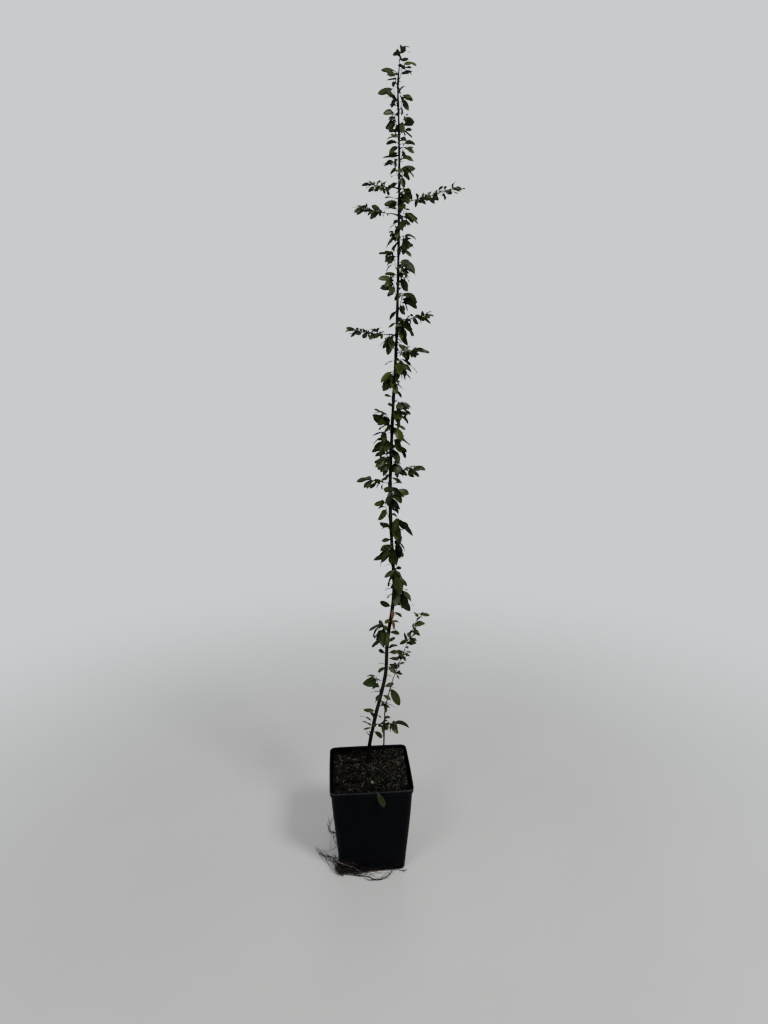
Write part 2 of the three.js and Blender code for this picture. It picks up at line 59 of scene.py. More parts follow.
GAP = 0.3
POT = dict(height=134.6, foot=96.0, under_band=117.6, rim=121.6, band=8.0, wall=1.8, floor=2.4,
           corner=0.085, drain_radius=4.5, drain_place=33.0)
COMPOST_TOP = 126.0

# Stems: height, x, y and radius at a few stations.
LEADER = [
    [COMPOST_TOP + GAP, -1, 27, 5.2], [138, -0.5, 24, 3.4], [166, 1, 15, 2.95],
    [220, 10, 2, 2.9], [283, 24.5, 0, 2.85], [336, 28, 0, 2.85], [388, 36.2, 1, 2.85],
    [420, 38.8, 2, 2.85], [479, 35.8, 2, 2.8], [560, 33.5, 1, 2.65], [670, 38, 0, 2.4],
    [772, 43.7, -1, 2.1], [870, 46.6, 0, 1.85], [960, 48.5, 1, 1.65], [1043, 48.3, 0, 1.45],
    [1090, 47.3, 0, 1.25], [1119, 49.3, 0, 0.9],
]
SECOND_STEM = [
    [COMPOST_TOP + GAP, 22.5, 41, 1.9], [150, 24, 38, 1.3], [213, 26, 29, 1.1],
    [240, 31.5, 25.5, 1.0], [262, 37, 22.5, 0.95],
]
STUB = dict(height=214, azimuth=192, length=11, radius=2.1, tip=2.3, rise=58)

# Boughs: name, height, azimuth, rise, bare length, then the shoot's length, leaves and leaf size.
BOUGHS = [
    ("upper_left", 967, 176, 7, 10, 25, 26, 14),
    ("upper_right", 948, 354, 13, 12, 62, 31, 14),
    ("lower_left", 933, 186, 8, 11, 40, 21, 13),
    ("middle_right", 795, 8, 11, 10, 27, 23, 14),
    ("middle_left", 776, 172, 5, 11, 45, 31, 13),
]
BOUGH = dict(root=1.3, tip=0.8, bend=3.0, knots=0.12, knot_pace=2.1, sides=9)
# Extra room at a root, beside the gap, and how far the wood runs on inside the limb that bears it.
SEAT = dict(bough=0.15, shoot=0.1, second=0.6, spur=0.02, in_tip=1.0, in_leader=1.2, in_compost=4.0)
BOUGH_SHOOT = dict(bend=0.04, pitch=-6, fan=115, small=11, large=16)
TIP_SHOOT = dict(azimuth=20, rise=84, length=20, bend=0, pitch=10, leaves=7, leaf=14, fan=165,
                 small=11, large=15)
SECOND_SHOOT = dict(azimuth=344, rise=70, length=122, bend=-0.03, pitch=-5, leaves=32, leaf=17,
                    fan=160, small=12, large=18)

# Tufts on the leader: height, azimuth, length of the stem, pitch, number of leaves, longest leaf.
TUFTS = [
    (1102, 352, 16, -10, 3, 19), (1095, 186, 16, -5, 2, 17), (1072, 172, 17, -15, 2, 22),
    (1064, 345, 17, -25, 4, 15), (1040, 200, 19, -15, 4, 17), (1034, 338, 19, -30, 4, 17),
    (1012, 250, 19, -25, 4, 20), (1004, 10, 19, -5, 4, 16), (984, 172, 19, 5, 5, 17),
    (973, 318, 19, -45, 5, 23), (949, 35, 19, -40, 8, 21), (932, 250, 19, -10, 5, 18),
    (919, 338, 19, -45, 5, 28), (900, 228, 19, -35, 4, 19), (886, 12, 20, -15, 7, 19),
    (865, 186, 20, -10, 6, 24), (856, 334, 19, -50, 9, 26), (846, 346, 19, -40, 8, 28),
    (830, 186, 21, -5, 9, 20), (812, 334, 19, -35, 7, 26), (778, 338, 19, -42, 10, 36),
    (758, 198, 19, -35, 10, 31), (752, 4, 26, -15, 17, 20), (724, 336, 19, -38, 12, 32),
    (708, 245, 19, -40, 10, 25), (664, 352, 21, -30, 12, 22), (646, 180, 22, 0, 9, 18),
    (621, 196, 22, -15, 11, 21), (615, 20, 19, -30, 9, 26), (592, 230, 21, -20, 9, 23),
    (587, 4, 30, -15, 18, 20), (571, 180, 28, -10, 12, 18), (546, 310, 19, -30, 9, 20),
    (523, 196, 19, -5, 2, 18), (501, 334, 19, -45, 8, 36), (472, 350, 19, -45, 7, 28),
    (463, 225, 19, -20, 9, 20), (430, 280, 17, -65, 7, 40), (402, 336, 16, -50, 9, 36),
    (346, 188, 17, -25, 10, 24), (260, 180, 20, 0, 3, 15), (203, 342, 26, -12, 11, 27),
]
SPUR = dict(rise=78, bend=0.1, fan=96, small=14, large=20)
SHOOT = dict(rise=6, bend=0.1, fan=90, small=13, large=20)
SHORT = 23  # a shorter stem is a spur, a longer one a side shoot
LARGER = dict(small=0.008, large=0.015)  # leaves grow by this for each step below the tip

TWIG = dict(root=0.85, tip=0.6, spacing=13, length=6, shortest=0.75, longest=1.25, spread=52,
            lift=16, drop=-0.6, follow=0.4, wander=12, bend=0.1, before=0.7, after=0.3)
LEAF = dict(width_share=0.4, jitter=34, roll=80, tries=20,
            golden=137.5, retry=61, outer=0.98, stretch=0.86, side_outer=0.96, side_step=0.28)
CLEAR = dict(other=3.4, same=1.7, limb=1.2, wall=3.0)
SEED = 7919

# The low shoot: its foot and its end over the rim, then place, azimuth, pitch, roll and length
# of each leaf.
LOW_SHOOT = dict(foot=(8, -26), over=(6, -63.5), above=3.4, arch=9, tip=0.45, slim=0.76, tone=0.1)
LOW_LEAVES = [(1, 355, -65, 65, 27), (0.45, 0, 68, 50, 16)]

# Single leaves straight from a stem's bark: height, azimuth, pitch, roll, length, and how far it
# has turned to its autumn brown, where it has. They stand on the leader, if no other stem is named.
STEM_LEAVES = [
    (1112, 348, 4, 25, 17), (1109, 188, 6, -22, 15), (1068, 190, 2, 15, 12),
    (1049, 196, 4, -12, 15), (1037, 184, 2, 22, 13), (1024, 194, -12, 25, 18),
    (1011, 202, -10, 42, 14), (990, 188, -35, 30, 14), (974, 200, -38, 50, 21),
    (880, 192, -24, 42, 20), (764, 346, -40, 55, 22), (762, 190, -25, 35, 14),
    (738, 350, -30, 30, 20), (655, 345, -28, 35, 19), (651, 336, -56, 62, 24),
    (640, 8, -12, 20, 17), (600, 346, -48, 58, 25), (582, 194, -35, 40, 14),
    (579, 338, -30, 42, 17), (553, 350, -18, 40, 16), (513, 200, -32, 42, 14),
    (506, 190, -10, 30, 13), (452, 186, -22, 34, 13), (424, 196, -30, 38, 13),
    (408, 345, -50, 72, 34), (385, 268, -50, 20, 15, 1.0), (371, 292, -62, -15, 16, 0.75),
    (365, 20, -15, 30, 13), (356, 330, -30, -20, 15, 0.1), (318, 345, 5, 20, 15),
    (303, 350, -10, -20, 14), (300, 196, 10, 25, 11), (297, 334, -34, 45, 17),
    (291, 8, -6, 30, 10), (250, 335, -62, 60, 30, 0.0, SECOND_STEM), (252, 330, -24, 15, 15, 0.1),
    (243, 318, -58, -10, 20), (238, 348, -22, 38, 16, 0.1), (206, 172, 26, 10, 21, 0.05),
    (197, 190, -8, -20, 13, 0.2),
]

# Thorns: height, azimuth, rise, length, and the stem where it isn't the leader.
THORNS = [
    (1073, 4, 14, 12), (990, 340, -16, 10), (900, 182, 12, 16), (716, 200, 20, 12),
    (640, 20, 18, 13), (541, 165, 16, 12), (492, 15, 24, 12), (405, 182, 6, 14),
    (380, 350, -22, 14), (374, 5, 10, 19), (325, 200, 20, 9), (258, 180, -4, 18),
    (243, 345, -18, 28), (187, 190, 20, 8), (252, 10, -14, 9, SECOND_STEM),
    (246, 320, -8, 10, SECOND_STEM), (236, 300, -20, 8, SECOND_STEM),
    (190, 20, 10, 6, SECOND_STEM),
]

# Fine roots beside the pot: x and y places along each strand, and the height where it climbs.
BESIDE = POT["foot"] / 2 + 1.2
FLOOR_ROOTS = [
    [(-BESIDE, -30), (-BESIDE, -41), (-47.5, -47.5), (-40, -BESIDE), (20, -BESIDE), (38, -BESIDE)],
    [(-32, -BESIDE), (-24, -55.5), (-9, -60), (5, -68), (14, -65), (22, -60.5), (26.5, -55),
     (27, -BESIDE)],
    [(-BESIDE, -29.4), (-60, -17), (-71, -12), (-78, -3), (-86, 7)],
    [(-BESIDE, -30.7), (-57, -26), (-69, -17), (-81, -4)],
    [(-BESIDE, -29), (-50.5, 5), (-55, 38), (-63, 42), (-65, 51), (-62, 65), (-57, 77)],
    [(37, -BESIDE), (46, -52.5), (52, -49)],
    [(-BESIDE, -30), (-52, -39, 7), (-51, -51, 10), (-37, -52.8, 9), (-20, -52.4, 5),
     (-4, -BESIDE, 0.8)],
    [(-60, -17), (-56, -34, 14), (-51.3, -51.3, 20.5), (-35, -53, 15), (-25, -53, 10),
     (-9, -60, 0.8)],
]
PALE_STRAND = 7  # the row of the one pale root
ROOT_HAIRS = (34, 18, 14, 9, 9, 5, 60, 14)  # fine roots along each strand
# How a strand's hairs differ: their radius and its end, how far they stray, and their tone.
ROOT = dict(radius=0.7, core=0.7, hair=(0.28, 0.52), end=0.35, core_stray=0.2, stray=1.5,
            flat=1.1, loose=2.6, shortest=6, room=0.5, pale=0.95, brown=0.82, sides=5)
FINE_ROOT = dict(radius=0.3, tip=0.14, stray=0.25)
FINE_ROOTS = [  # thin single roots on the floor, and how red each is
    (0.3, (-55, 38), (-60, 37), (-61.8, 18), (-61.5, 0)),
    (0.3, (-50.6, 33), (-56.8, 30), (-56.4, 20), (-55.3, 10)),
    (0.3, (-50.4, 9), (-54, 5.8), (-61.5, 0), (-69, -1.6), (-74, 3)),
    (0.3, (-80, -3), (-78, -11.6), (-69, -24.9), (-60, -33), (-50, -36)),
    (0.3, (-71, -12), (-66, -27), (-61, -38), (-50, -44)),
    (0.7, (-46, -49.6), (-36, -54), (-22, -54.5), (-12, -59)),
    (0.8, (-40, -49.8), (-26, -56.5), (-14, -53), (-2, -55), (6, -50)),
    (0.6, (-30, -49.6), (-17, -57), (-6, -52), (2, -60), (12, -61)),
    (0.8, (-24, -49.6), (-10, -54.5), (4, -52.5), (16, -56), (24, -50)),
    (0.7, (-12, -49.6), (-4, -56.5), (7, -55), (15, -50)),
    (0.4, (0, -49.6), (12, -53), (28, -52), (36, -49.8)),
]

# A forked snag low on the leader: height, azimuth, rise and length of each prong.
SNAG = [(178, 186, 54, 13.5), (179, 215, 74, 11.5)]

# ---- small helpers


class Draws:
    """A seeded stream of numbers between two limits."""

    def __init__(self, seed):
        self.state = seed & 0xFFFFFFFF

    def __call__(self, low, high):
        self.state = (self.state * 1664525 + 1013904223) & 0xFFFFFFFF
        return low + (high - low) * self.state / 4294967296

    def about(self, reach):
        """A number up to the reach to either side of 0."""
        return self(-reach, reach)

    def pick(self, items):
        """One of the items."""
        return items[int(self(0, len(items) - 0.001))]


UP = np.array([0.0, 0.0, 1.0])


def heading(azimuth, rise):
    """A unit vector from an azimuth and a rise in degrees."""
    a, r = math.radians(azimuth), math.radians(rise)
    return np.array([math.cos(r) * math.cos(a), math.cos(r) * math.sin(a), math.sin(r)])


def station_at(stations, heights):
    """x, y and radius at each height: a cubic between stations, its slopes taken across each."""
    table = np.array(stations, float)
    rows = np.arange(len(table))
    before, after = np.maximum(rows - 1, 0), np.minimum(rows + 1, len(table) - 1)
    level, values = table[:, 0], table[:, 1:]
    slopes = (values[after] - values[before]) / (level[after] - level[before])[:, None]
    heights = np.atleast_1d(np.asarray(heights, float))
    k = np.clip(np.searchsorted(level, heights, side="left") - 1, 0, len(table) - 2)
    span = (level[k + 1] - level[k])[:, None]
    t = np.clip((heights - level[k])[:, None] / span, 0, 1)
    return (
        (1 + 2 * t) * (1 - t) ** 2 * values[k]
        + t * (1 - t) ** 2 * span * slopes[k]
        + t * t * (3 - 2 * t) * values[k + 1]
        + t * t * (t - 1) * span * slopes[k + 1]
    )


def column(t):
    """One or more shares along a line, as a column."""
    return np.atleast_1d(np.asarray(t, float))[:, None]


def stem_place(stations, height):
    """The middle of a stem at one height, and its radius."""
    x, y, radius = station_at(stations, height)[0]
    return np.array([x, y, height]), radius


def line_from(root, azimuth, rise, length, bend):
    """A line that runs straight from its root while its end is lifted by bend times its length."""
    along = heading(azimuth, rise)

    def at(t):
        t = column(t)
        return root + along * length * t + UP * (bend * length) * t * t

    return at


def arched_line(root, span, arch):
    """A line from its root over a span, lifted on its way by the arch times t times 1 - t."""

    def at(t):
        t = column(t)
        return root + span * t + UP * arch * t * (1 - t)

    return at


def unit(vectors):
    """Vectors scaled to length 1 along the last axis."""
    return vectors / np.maximum(np.linalg.norm(vectors, axis=-1, keepdims=True), 1e-12)


def waves(points, size, count, seed):
    """A smooth random field: sines of about the given wavelength in random directions, summed."""
    rng = np.random.default_rng(seed)
    points = np.asarray(points, float)
    turns = unit(rng.normal(size=(count, points.shape[-1]))) * rng.uniform(0.6, 1.7, (count, 1))
    phases = rng.uniform(0, 2 * np.pi, count)
    return np.sin(points @ (turns * 2 * np.pi / size).T + phases).sum(-1) / math.sqrt(count / 2)


# ---- the growth rule


class Growth:
    """All that has grown so far, as points with the number of the tuft that they belong to."""

    def __init__(self):
        self.points = np.empty((0, 3))
        self.tufts = np.empty(0, int)
        self.bough_points = np.empty((0, 3))

    def keep(self, points, tuft):
        self.points = np.vstack([self.points, points])
        self.tufts = np.append(self.tufts, np.full(len(points), tuft))

    def near(self, points, tuft, clear):
        """True if any of the points is closer to what has grown than the clearances allow."""
        reach = max(clear["other"], clear["same"])
        low, high = points.min(0) - reach, points.max(0) + reach
        close = ((self.points > low) & (self.points < high)).all(1)
        if not close.any():
            return False
        room = np.where(self.tufts[close] == tuft, clear["same"], clear["other"])
        gaps = np.linalg.norm(points[:, None] - self.points[close][None], axis=2)
        return bool((gaps < room).any())

    def blocks(self, points, tuft, clear):
        """True if any of the points touches a limb or what has grown."""
        return self.touches_limb(points) or self.near(points, tuft, clear)

    def takes(self, leaf, tuft, clear):
        """Keeps a leaf that nothing blocks, and says whether it did."""
        points = leaf_points(leaf)
        if self.blocks(points, tuft, clear):
            return False
        self.keep(points, tuft)
        return True

    def touches_limb(self, points):
        """True if any of the points touches a stem, a bough or the pot."""
        for stations in (LEADER, SECOND_STEM):
            low = points[:, 2] < stations[-1][0] + 2
            places = station_at(stations, points[:, 2])
            away = np.hypot(points[:, 0] - places[:, 0], points[:, 1] - places[:, 1])
            if (low & (away < places[:, 2] + CLEAR["limb"])).any():
                return True
        gaps = np.linalg.norm(points[:, None] - self.bough_points[None], axis=2)
        if (gaps < BOUGH["root"] + CLEAR["limb"]).any():
            return True
        half = POT["rim"] / 2 + CLEAR["wall"]
        low = points[:, 2] < POT["height"] + CLEAR["wall"]
        return bool((low & (np.abs(points[:, :2]) < half).all(1)).any())


TWIG_SAMPLES = np.arange(0.04, 1.001, 0.08)
LEAF_SAMPLES = [(along, across * (0.5 if along == 1 else 0.9))
                for along in (0.3, 0.44, 0.58, 0.72, 0.86, 1) for across in (-1, 0, 1)]


def leaf_frame(root, azimuth, pitch, roll, length):
    """A leaf: its root, its directions ahead, to its side and out of its upper face, its length."""
    ahead, level = heading(azimuth, pitch), heading(azimuth + 90, 0)
    face = np.cross(ahead, level)
    turn = math.radians(roll)
    side = level * math.cos(turn) + face * math.sin(turn)
    return dict(root=root, ahead=ahead, side=side, face=np.cross(ahead, side), length=length,
                brown=0.0, slim=1.0, tone=-1.0)


def leaf_points(leaf):
    """Sample points over a leaf, from a third of its length to its tip."""
    half = leaf["length"] * LEAF["width_share"] * 0.5
    ahead = leaf["ahead"] * leaf["length"]
    return np.array([leaf["root"] + ahead * along + leaf["side"] * across * half
                     for along, across in LEAF_SAMPLES])


def grow_tuft(growth, tuft):
    """Twigs on alternate sides of one stem, and leaves that fan out from them, by seeded draws."""
    draw = Draws(SEED * (tuft["number"] + 1))
    main, azimuth, rise = tuft["line"], tuft["azimuth"], tuft["rise"]
    number, length = tuft["number"], tuft["length"]
    twigs = [main]
    count = int(length / TWIG["spacing"] + 0.5) if length > SHORT else 0
    for k in range(count):
        t = (k + TWIG["before"]) / (count + TWIG["after"])
        turn = (-1 if k % 2 else 1) * (TWIG["spread"] + draw.about(TWIG["wander"]))
        side = TWIG["length"] * draw(TWIG["shortest"], TWIG["longest"])
        lift = TWIG["lift"] * (TWIG["drop"] if k % 2 else 1) + draw.about(TWIG["wander"])
        climb = rise * TWIG["follow"] + lift
        line = line_from(main(t)[0], azimuth + turn, climb, side, TWIG["bend"])
        if growth.blocks(line([0.6, 1]), number, CLEAR):
            continue
        twigs.append(line)
    for line in twigs[1:]:
        growth.keep(line(TWIG_SAMPLES), number)
    leaves = []
    sides = len(twigs) - 1
    for k in range(tuft["leaves"]):
        on_side = sides > 0 and k % 2 == 1
        turn = (k - 1) // 2
        line = twigs[1 + turn % sides] if on_side else main
        rank = turn // sides % 3 if on_side else 0
        outer = LEAF["outer"] - LEAF["stretch"] * k / tuft["leaves"]
        t = LEAF["side_outer"] - LEAF["side_step"] * rank if on_side else outer
        size = tuft["leaf"] if k == 0 else draw(tuft["small"], tuft["large"])
        for attempt in range(LEAF["tries"]):
            fan = (k * LEAF["golden"] + attempt * LEAF["retry"]) % (2 * tuft["fan"]) - tuft["fan"]
            swing = 0 if k == 0 and attempt == 0 else fan
            tilt = tuft["pitch"] + (0 if k == 0 else draw.about(LEAF["jitter"]))
            roll = draw.about(LEAF["roll"])
            leaf = leaf_frame(line(t)[0], azimuth + swing, tilt, roll, size)
            if growth.takes(leaf, number, CLEAR):
                leaves.append(leaf)
                break
    return twigs, leaves


def bough_line(name, height, azimuth, rise, length, *_):
    """The line of a side bough, from a gap off the leader, with a slight upward arch."""
    middle, radius = stem_place(LEADER, height)
    away = radius + GAP + BOUGH["root"] * math.sin(math.radians(rise)) + SEAT["bough"]
    root, span = middle + heading(azimuth, 0) * away, heading(azimuth, rise) * length
    return arched_line(root, span, BOUGH["bend"])


def low_shoot_line():
    """The shoot that arches from the compost over the front rim."""
    root = np.array([*LOW_SHOOT["foot"], COMPOST_TOP + GAP + TWIG["root"]])
    over = np.array([*LOW_SHOOT["over"], POT["height"] + LOW_SHOOT["above"]])
    return arched_line(root, over - root, LOW_SHOOT["arch"])


def planned_tufts(growth):
    """Every tuft and shoot in the order that it grows, with its line and the limb it stands on."""
    tufts = []
    for bough in BOUGHS:
        name, _, azimuth, rise, _, shoot, leaves, leaf = bough
        line = bough_line(*bough)
        growth.bough_points = np.vstack([growth.bough_points, line(np.arange(0, 1.01, 0.1))])
        root = line(1)[0] + heading(azimuth, rise) * (GAP + SEAT["shoot"])
        tufts.append(dict(name=f"{name}_leaves", root=root, inner=line(1)[0], azimuth=azimuth,
                          rise=rise, length=shoot, leaves=leaves, leaf=leaf, **BOUGH_SHOOT))
    for name, stations, above, shoot in (
            ("tip_leaves", LEADER, 0, TIP_SHOOT),
            ("second_stem_leaves", SECOND_STEM, TWIG["root"] * SEAT["second"], SECOND_SHOOT)):
        top, x, y, _ = stations[-1]
        tufts.append(dict(name=name, root=np.array([x, y, top + GAP + above]),
                          inner=np.array([x, y, top - SEAT["in_tip"]]), **shoot))
    for k, (height, azimuth, length, pitch, leaves, leaf) in enumerate(TUFTS):
        kind = dict(SHOOT if length > SHORT else SPUR)
        rise = kind["rise"]
        if length <= SHORT:
            for key, more in LARGER.items():
                kind[key] += more * (LEADER[-1][0] - height)
        middle, radius = stem_place(LEADER, height)
        away = radius + GAP + TWIG["root"] * (math.sin(math.radians(abs(rise))) + SEAT["spur"])
        root, inner = middle + heading(azimuth, 0) * away, middle - UP * SEAT["in_leader"]
        tufts.append(dict(name=f"leader_leaves_{k + 1:02d}", root=root, inner=inner, length=length,
                          azimuth=azimuth, pitch=pitch, leaves=leaves, leaf=leaf, **kind))
    for number, tuft in enumerate(tufts):
        tuft["number"] = number
        given = (tuft[key] for key in ("root", "azimuth", "rise", "length", "bend"))
        tuft["line"] = line_from(*given)
        growth.keep(tuft["line"](TWIG_SAMPLES), number)
    return tufts


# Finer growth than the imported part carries, with less room between the leaves.
FINE = dict(share=0.5, bough_share=1.0, smallest=0.45, largest=0.75, inner=0.12, tries=16, stream=5)
FINE_CLEAR = dict(other=1.9, same=1.2)
FINE_TWIG = dict(spacing=7, inner=0.3, outer=0.95, spread=58, wander=24, low=-30, high=45,
                 shortest=2.6, longest=5.2, root=0.42, tip=0.26, small=8, large=12.5, stream=11)
STEM_LEAF = dict(first=190, last=1112, spacing=9, jitter=0.3, small=13, large=21, low=-45, high=22,
                 tries=12, sunk=0.3, number=-1)


def grow_finer(growth, tuft, twigs):
    """More and smaller leaves along the same twigs, wherever they find room."""
    draw = Draws(SEED * (tuft["number"] + 1) + FINE["stream"])
    leaves = []
    share = FINE["bough_share" if tuft["number"] < len(BOUGHS) else "share"]
    for _ in range(round(tuft["leaves"] * share)):
        size = tuft["large"] * draw(FINE["smallest"], FINE["largest"])
        for _ in range(FINE["tries"]):
            root = draw.pick(twigs)(draw(FINE["inner"], 1))[0]
            azimuth = tuft["azimuth"] + draw.about(tuft["fan"])
            pitch = tuft["pitch"] + draw.about(LEAF["jitter"])
            leaf = leaf_frame(root, azimuth, pitch, draw.about(LEAF["roll"]), size)
            if growth.takes(leaf, tuft["number"], FINE_CLEAR):
                leaves.append(leaf)
                break
    return leaves


def grow_fine_twigs(growth, tuft, twigs):
    """Short fine twigs off a tuft's own twigs, left and right by turns, with a leaf on each tip."""
    number = tuft["number"]
    draw = Draws(SEED * (number + 1) + FINE_TWIG["stream"])
    fine, leaves = [], []
    for k in range(round(tuft["length"] / FINE_TWIG["spacing"])):
        start = draw.pick(twigs)(draw(FINE_TWIG["inner"], FINE_TWIG["outer"]))[0]
        turn = FINE_TWIG["spread"] + draw.about(FINE_TWIG["wander"])
        azimuth = tuft["azimuth"] + (turn if k % 2 else -turn)
        rise = draw(FINE_TWIG["low"], FINE_TWIG["high"])
        length = draw(FINE_TWIG["shortest"], FINE_TWIG["longest"])
        line = line_from(start, azimuth, rise, length, TWIG["bend"])
        if growth.blocks(line([0.7, 1]), number, FINE_CLEAR):
            continue
        fine.append(line)
        size = draw(FINE_TWIG["small"], FINE_TWIG["large"])
        for _ in range(FINE["tries"]):
            pitch = tuft["pitch"] + draw.about(LEAF["jitter"])
            swing = azimuth + draw.about(FINE_TWIG["spread"])
            leaf = leaf_frame(line(1)[0], swing, pitch, draw.about(LEAF["roll"]), size)
            if growth.takes(leaf, number, FINE_CLEAR):
                leaves.append(leaf)
                break
        growth.keep(line([0.5, 1]), number)
    return fine, leaves


def bark_leaf(height, azimuth, pitch, roll, length, brown=0.0, stations=LEADER):
    """A leaf that stands straight on a stem, its root just inside the bark."""
    middle, radius = stem_place(stations, height)
    root = middle + heading(azimuth, 0) * (radius - STEM_LEAF["sunk"])
    return {**leaf_frame(root, azimuth, pitch, roll, length), "brown": brown}


def grow_on_leader(growth):
    """Leaves straight from the leader, turning round it from one to the next, then single ones."""
    draw = Draws(SEED)
    leaves = []
    count = int((STEM_LEAF["last"] - STEM_LEAF["first"]) / STEM_LEAF["spacing"])
    for k in range(count):
        aside = draw.about(STEM_LEAF["jitter"])
        height = STEM_LEAF["first"] + (k + aside) * STEM_LEAF["spacing"]
        size = draw(STEM_LEAF["small"], STEM_LEAF["large"])
        for attempt in range(STEM_LEAF["tries"]):
            azimuth = k * LEAF["golden"] + attempt * LEAF["retry"]
            pitch = draw(STEM_LEAF["low"], STEM_LEAF["high"])
            leaf = bark_leaf(height, azimuth, pitch, draw.about(LEAF["roll"]), size)
            if growth.takes(leaf, STEM_LEAF["number"], FINE_CLEAR):
                leaves.append(leaf)
                break
    for row in STEM_LEAVES:
        leaf = bark_leaf(*row)
        leaves.append(leaf)
        growth.keep(leaf_points(leaf), STEM_LEAF["number"])
    return leaves


# ---- surfaces as whole arrays


def mesh_object(name, verts, faces, material, corner_uv=None, values=None, sharp=None):
    """A mesh object at the origin from millimetre points and faces, with its own UV and values."""
    mesh = bpy.data.meshes.new(name)
    mesh.from_pydata((np.asarray(verts) * MM).tolist(), [], faces)
    mesh.polygons.foreach_set("use_smooth", np.ones(len(mesh.polygons), bool))
    if corner_uv is not None:
        loops = np.empty(len(mesh.loops), np.int32)
        mesh.loops.foreach_get("vertex_index", loops)
        layer = mesh.uv_layers.new(name="own")
        layer.data.foreach_set("uv", np.asarray(corner_uv, np.float32)[loops].ravel())
    for key, numbers in (values or {}).items():
        attribute = mesh.attributes.new(key, "FLOAT", "POINT")
        attribute.data.foreach_set("value", np.asarray(numbers, np.float32))
    mesh.update()
    if sharp is not None:
        mesh.set_sharp_from_angle(angle=math.radians(sharp))
    mesh.materials.append(material)
    piece = bpy.data.objects.new(name, mesh)
    bpy.context.scene.collection.objects.link(piece)
    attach(piece, BODY)
    return piece


def grid_faces(rows, columns):
    """Quads of a grid whose columns close round, row by row, with faces that point outwards."""
    r, c = np.meshgrid(np.arange(rows - 1), np.arange(columns), indexing="ij")
    a = r * columns + c
    b = r * columns + (c + 1) % columns
    return np.stack([a, b, b + columns, a + columns], -1).reshape(-1, 4)


def fan_faces(ring, centre, reverse):
    """Triangles from a closed ring of vertices to one centre vertex."""
    following = np.roll(ring, -1)
    middle = np.full(len(ring), centre)
    order = [following, ring, middle] if reverse else [ring, following, middle]
    return np.stack(order, -1)


def ring_faces(rows, columns):
    """Faces of rows of rings, closed by a fan to the vertex after them at each end."""
    first = np.arange(columns)
    faces = grid_faces(rows, columns).tolist()
    faces += fan_faces(first, rows * columns, True).tolist()
    return faces + fan_faces(first + (rows - 1) * columns, rows * columns + 1, False).tolist()


def closed_rings(rings):
    """Rows of rings, counter-clockwise about their run, with a point in the middle of each end."""
    verts = np.vstack([rings.reshape(-1, 3), rings[0].mean(0), rings[-1].mean(0)])
    return verts, ring_faces(*rings.shape[:2])


def tube_rings(path, radii, sides):
    """Rings square to a path: its points plus radius times a circle in the plane across it."""
    run = unit(np.gradient(path, axis=0))
    aside = UP if abs(run[:, 2]).mean() < 0.8 else np.array([0.0, 1.0, 0.0])
    across = unit(np.cross(aside, run))
    up = np.cross(run, across)
    angle = np.arange(sides) * 2 * np.pi / sides
    cos, sin = np.cos(angle)[:, None], np.sin(angle)[:, None]
    circle = cos * across[:, None] + sin * up[:, None]
    return path[:, None] + circle * np.asarray(radii)[:, None, None]


class Bundle:
    """Tubes and other closed surfaces that are joined into one mesh, with values for each."""

    def __init__(self):
        self.verts, self.faces, self.uv, self.values = [], [], [], {}
        self.count = 0

    def add(self, verts, faces, uv=None, **values):
        self.verts.append(verts)
        self.faces += [[i + self.count for i in face] for face in faces]
        self.uv.append(np.zeros((len(verts), 2)) if uv is None else uv)
        for key, value in values.items():
            self.values.setdefault(key, []).append(np.broadcast_to(value, len(verts)))
        self.count += len(verts)

    def tube(self, path, radii, sides, **values):
        path = np.asarray(path, float)
        verts, faces = closed_rings(tube_rings(path, radii, sides))
        along = np.repeat(np.linspace(0, 1, len(path)), sides)
        around = np.tile(np.arange(sides) / sides, len(path))
        uv = np.vstack([np.stack([around, along], -1), [[0.5, 0.0], [0.5, 1.0]]])
        self.add(verts, faces, uv, **values)

    def piece(self, name, material, sharp=None):
        values = {key: np.concatenate(columns) for key, columns in self.values.items()}
        uv = np.vstack(self.uv)
        return mesh_object(name, np.vstack(self.verts), self.faces, material, uv, values, sharp)


# A leaf's surface: its rings run along it, and each ring goes round its upper and lower face.
LEAF_ALONG = np.array([0.02, 0.06, 0.11, 0.26, 0.44, 0.62, 0.79, 0.91, 0.975])
RING_ACROSS = np.array([-1, -0.52, 0, 0.52, 1, 0])
RING_UPPER = np.array([0, 1, 1, 1, 0, -1])
STALK = dict(share=0.06, half=0.4, taper=0.4, thick=0.5)
BLADE = dict(rising=0.78, falling=0.74, thick=0.016, thinnest=0.16, taper=0.6, tip=0.42, opens=6,
             cup=1.3, ripples=9)
# How leaves differ: their arch in degrees, some of them bent upwards, and the rest of their form.
VARIED = dict(arch=(6, 62), bent=[1, 1, 1, -0.4], fold=(0.05, 0.5), twist=16, width=(0.86, 1.2),
              wave=(0.0, 0.05))


def blade_half(v):
    """Half the blade's width as a share of its widest: a power of v times a power of 1 - v."""
    v = np.clip((v - STALK["share"]) / (1 - STALK["share"]), 0, 1)
    a, b = BLADE["rising"], BLADE["falling"]
    peak = (a / (a + b)) ** a * (b / (a + b)) ** b
    return v**a * (1 - v) ** b / peak


